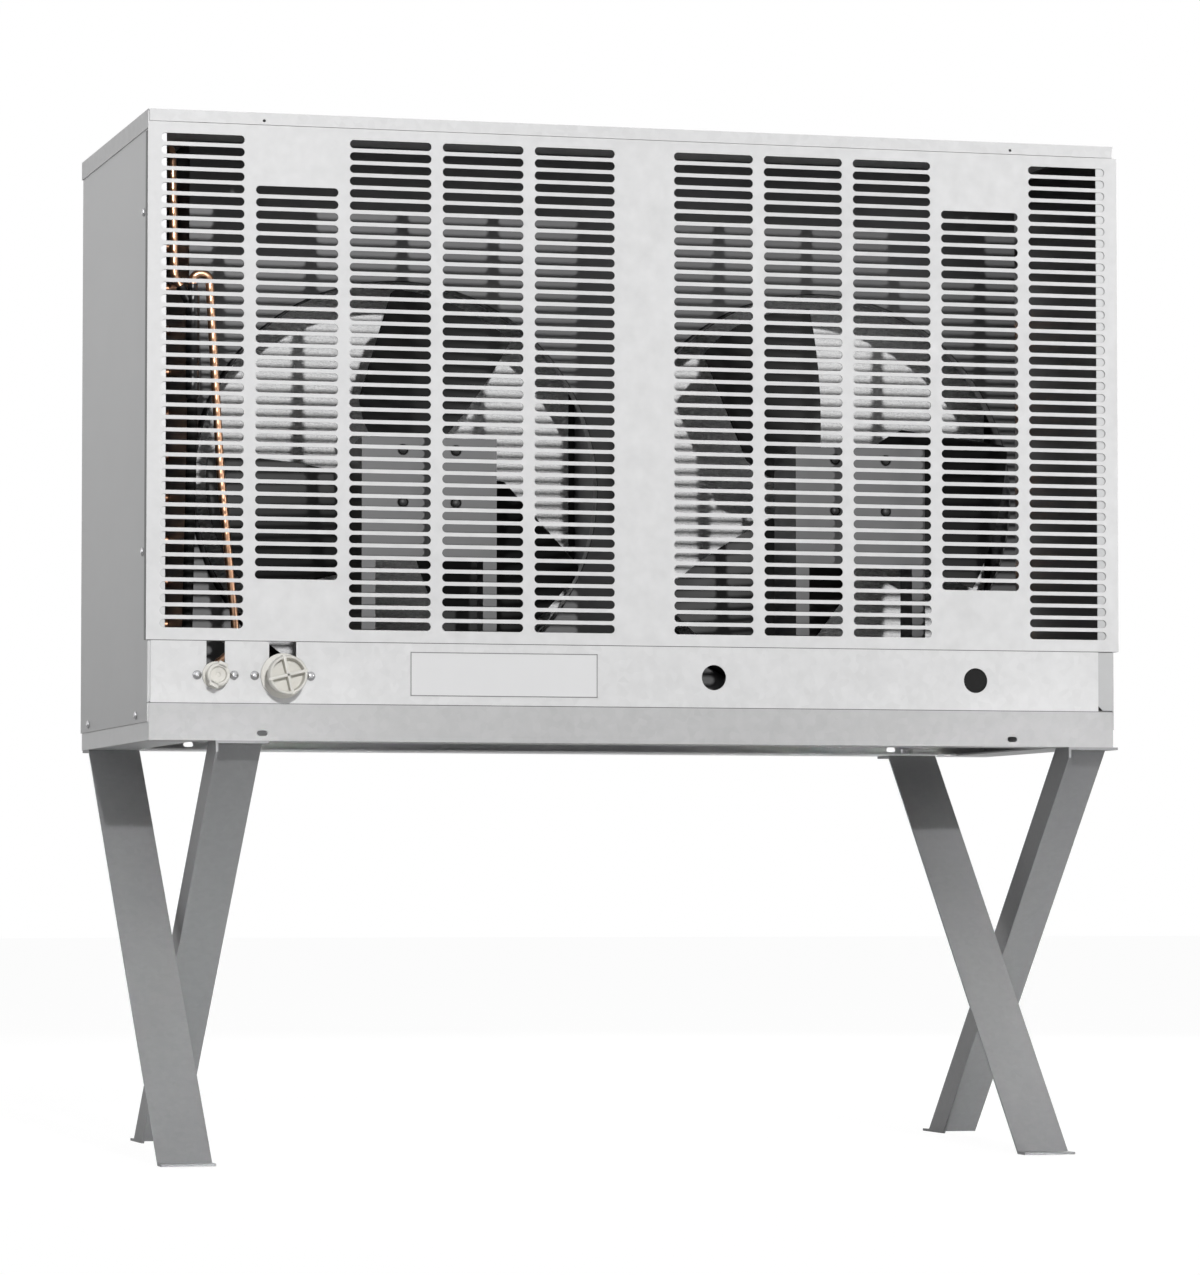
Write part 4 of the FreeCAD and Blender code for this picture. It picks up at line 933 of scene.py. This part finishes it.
# %% [markdown]
# ## The floor and the light
# The object stands on a plain pale floor that melts into a white background, so the floor shows the
# camera mostly plain white and only a little of its shadow.

# %% Lay the floor
FLOOR_SIZE = 60.0
FLOOR_WHITE_SHARE = 0.9
FLOOR_WHITE = 1.06
PURE_WHITE = (1.0, 1.0, 1.0, 1.0)
floor_paint = Paint("floor_pale", Roughness=0.9, Base_Color=(0.9, 0.9, 0.9, 1.0))
seen_first = floor_paint.node("ShaderNodeLightPath", output="Is Camera Ray")
white = floor_paint.node("ShaderNodeEmission", None, {"Color": PURE_WHITE, "Strength": FLOOR_WHITE})
mixed = floor_paint.node("ShaderNodeMixShader", None, {
    "Fac": seen_first * FLOOR_WHITE_SHARE, 1: Wire(floor_paint, floor_paint.shader.outputs[0]), 2: white})
floor_paint.tree.links.new(mixed.socket, floor_paint.tree.nodes["Material Output"].inputs["Surface"])
floor_shape = bmesh.new()
bmesh.ops.create_grid(floor_shape, x_segments=1, y_segments=1, size=FLOOR_SIZE / 2)
floor_mesh = bpy.data.meshes.new("floor")
floor_shape.to_mesh(floor_mesh)
floor_shape.free()
floor_mesh.materials.append(floor_paint.material)
floor = bpy.data.objects.new("floor", floor_mesh)
bpy.context.scene.collection.objects.link(floor)
print("floor:", FLOOR_SIZE, "m across")

# %% [markdown]
# ## The white background
# The background is white to the eye and in what the metal mirrors, but it lights the object only a
# little. The sheet keeps its tones, and the inside of the cabinet stays dark.

# %% Set the world
AMBIENT = 0.09
world = bpy.data.worlds.new("studio")
world.use_nodes = True
bpy.context.scene.world = world
tree = world.node_tree
backdrop = tree.nodes["Background"]
path = tree.nodes.new("ShaderNodeLightPath")
bright = path.outputs["Is Camera Ray"]
for ray in ("Is Glossy Ray", "Is Transmission Ray"):
    either = tree.nodes.new("ShaderNodeMath")
    either.operation = "MAXIMUM"
    tree.links.new(bright, either.inputs[0])
    tree.links.new(path.outputs[ray], either.inputs[1])
    bright = either.outputs[0]
strength = tree.nodes.new("ShaderNodeMapRange")
strength.inputs["To Min"].default_value = AMBIENT
strength.inputs["To Max"].default_value = 1.0
tree.links.new(bright, strength.inputs["Value"])
tree.links.new(strength.outputs[0], backdrop.inputs["Strength"])
backdrop.inputs["Color"].default_value = PURE_WHITE
print("background lights the object at", AMBIENT)

# %% [markdown]
# ## The lamps
# One strong lamp stands far in front, a little to the left and above the cabinet. Its light passes
# through the slots, so the fins shine between the blades with the shadows of the bars across them. A
# soft lamp on each side and one behind lift the panels there, and two narrow lamps near the floor
# light the legs alone.

# %% Hang the lamps
LEG_LAMP_SPREAD = 11


def add_lamp(name, place, aim, size, power, spread=180):
    """A square lamp turned towards a point, with its light spread over some degrees."""
    lamp = bpy.data.lights.new(name, "AREA")
    lamp.spread = math.radians(spread)
    lamp.size = size
    lamp.energy = power
    holder = bpy.data.objects.new(name, lamp)
    holder.location = place
    holder.rotation_euler = (Vector(aim) - Vector(place)).to_track_quat("-Z", "Y").to_euler()
    bpy.context.scene.collection.objects.link(holder)


add_lamp("front_lamp", (-0.82, -12.2, 3.98), (0, 0, 0.8), 0.20, 920.0)
add_lamp("right_lamp", (1.6, -1.6, 1.0), (0.5, 0, 0.8), 0.8, 8.0)
add_lamp("left_lamp", (-3.0, -0.1, 1.7), (-0.57, 0, 0.8), 1.5, 18.0)
add_lamp("back_lamp", (1.8, 4.0, 2.4), (0, 0, 0.8), 2.5, 75.0)
for side, x in (("left", -0.50), ("right", 0.50)):
    add_lamp("leg_lamp_" + side, (x, -3.2, 0.21), (x, 0, 0.19), 0.30, 0.42, LEG_LAMP_SPREAD)
print("lamps:", ", ".join(lamp.name for lamp in bpy.data.lights))

# %% [markdown]
# ## Finish
# The scene is shown without any colour grading.

# %% Finish
bpy.context.scene.view_settings.view_transform = "Standard"
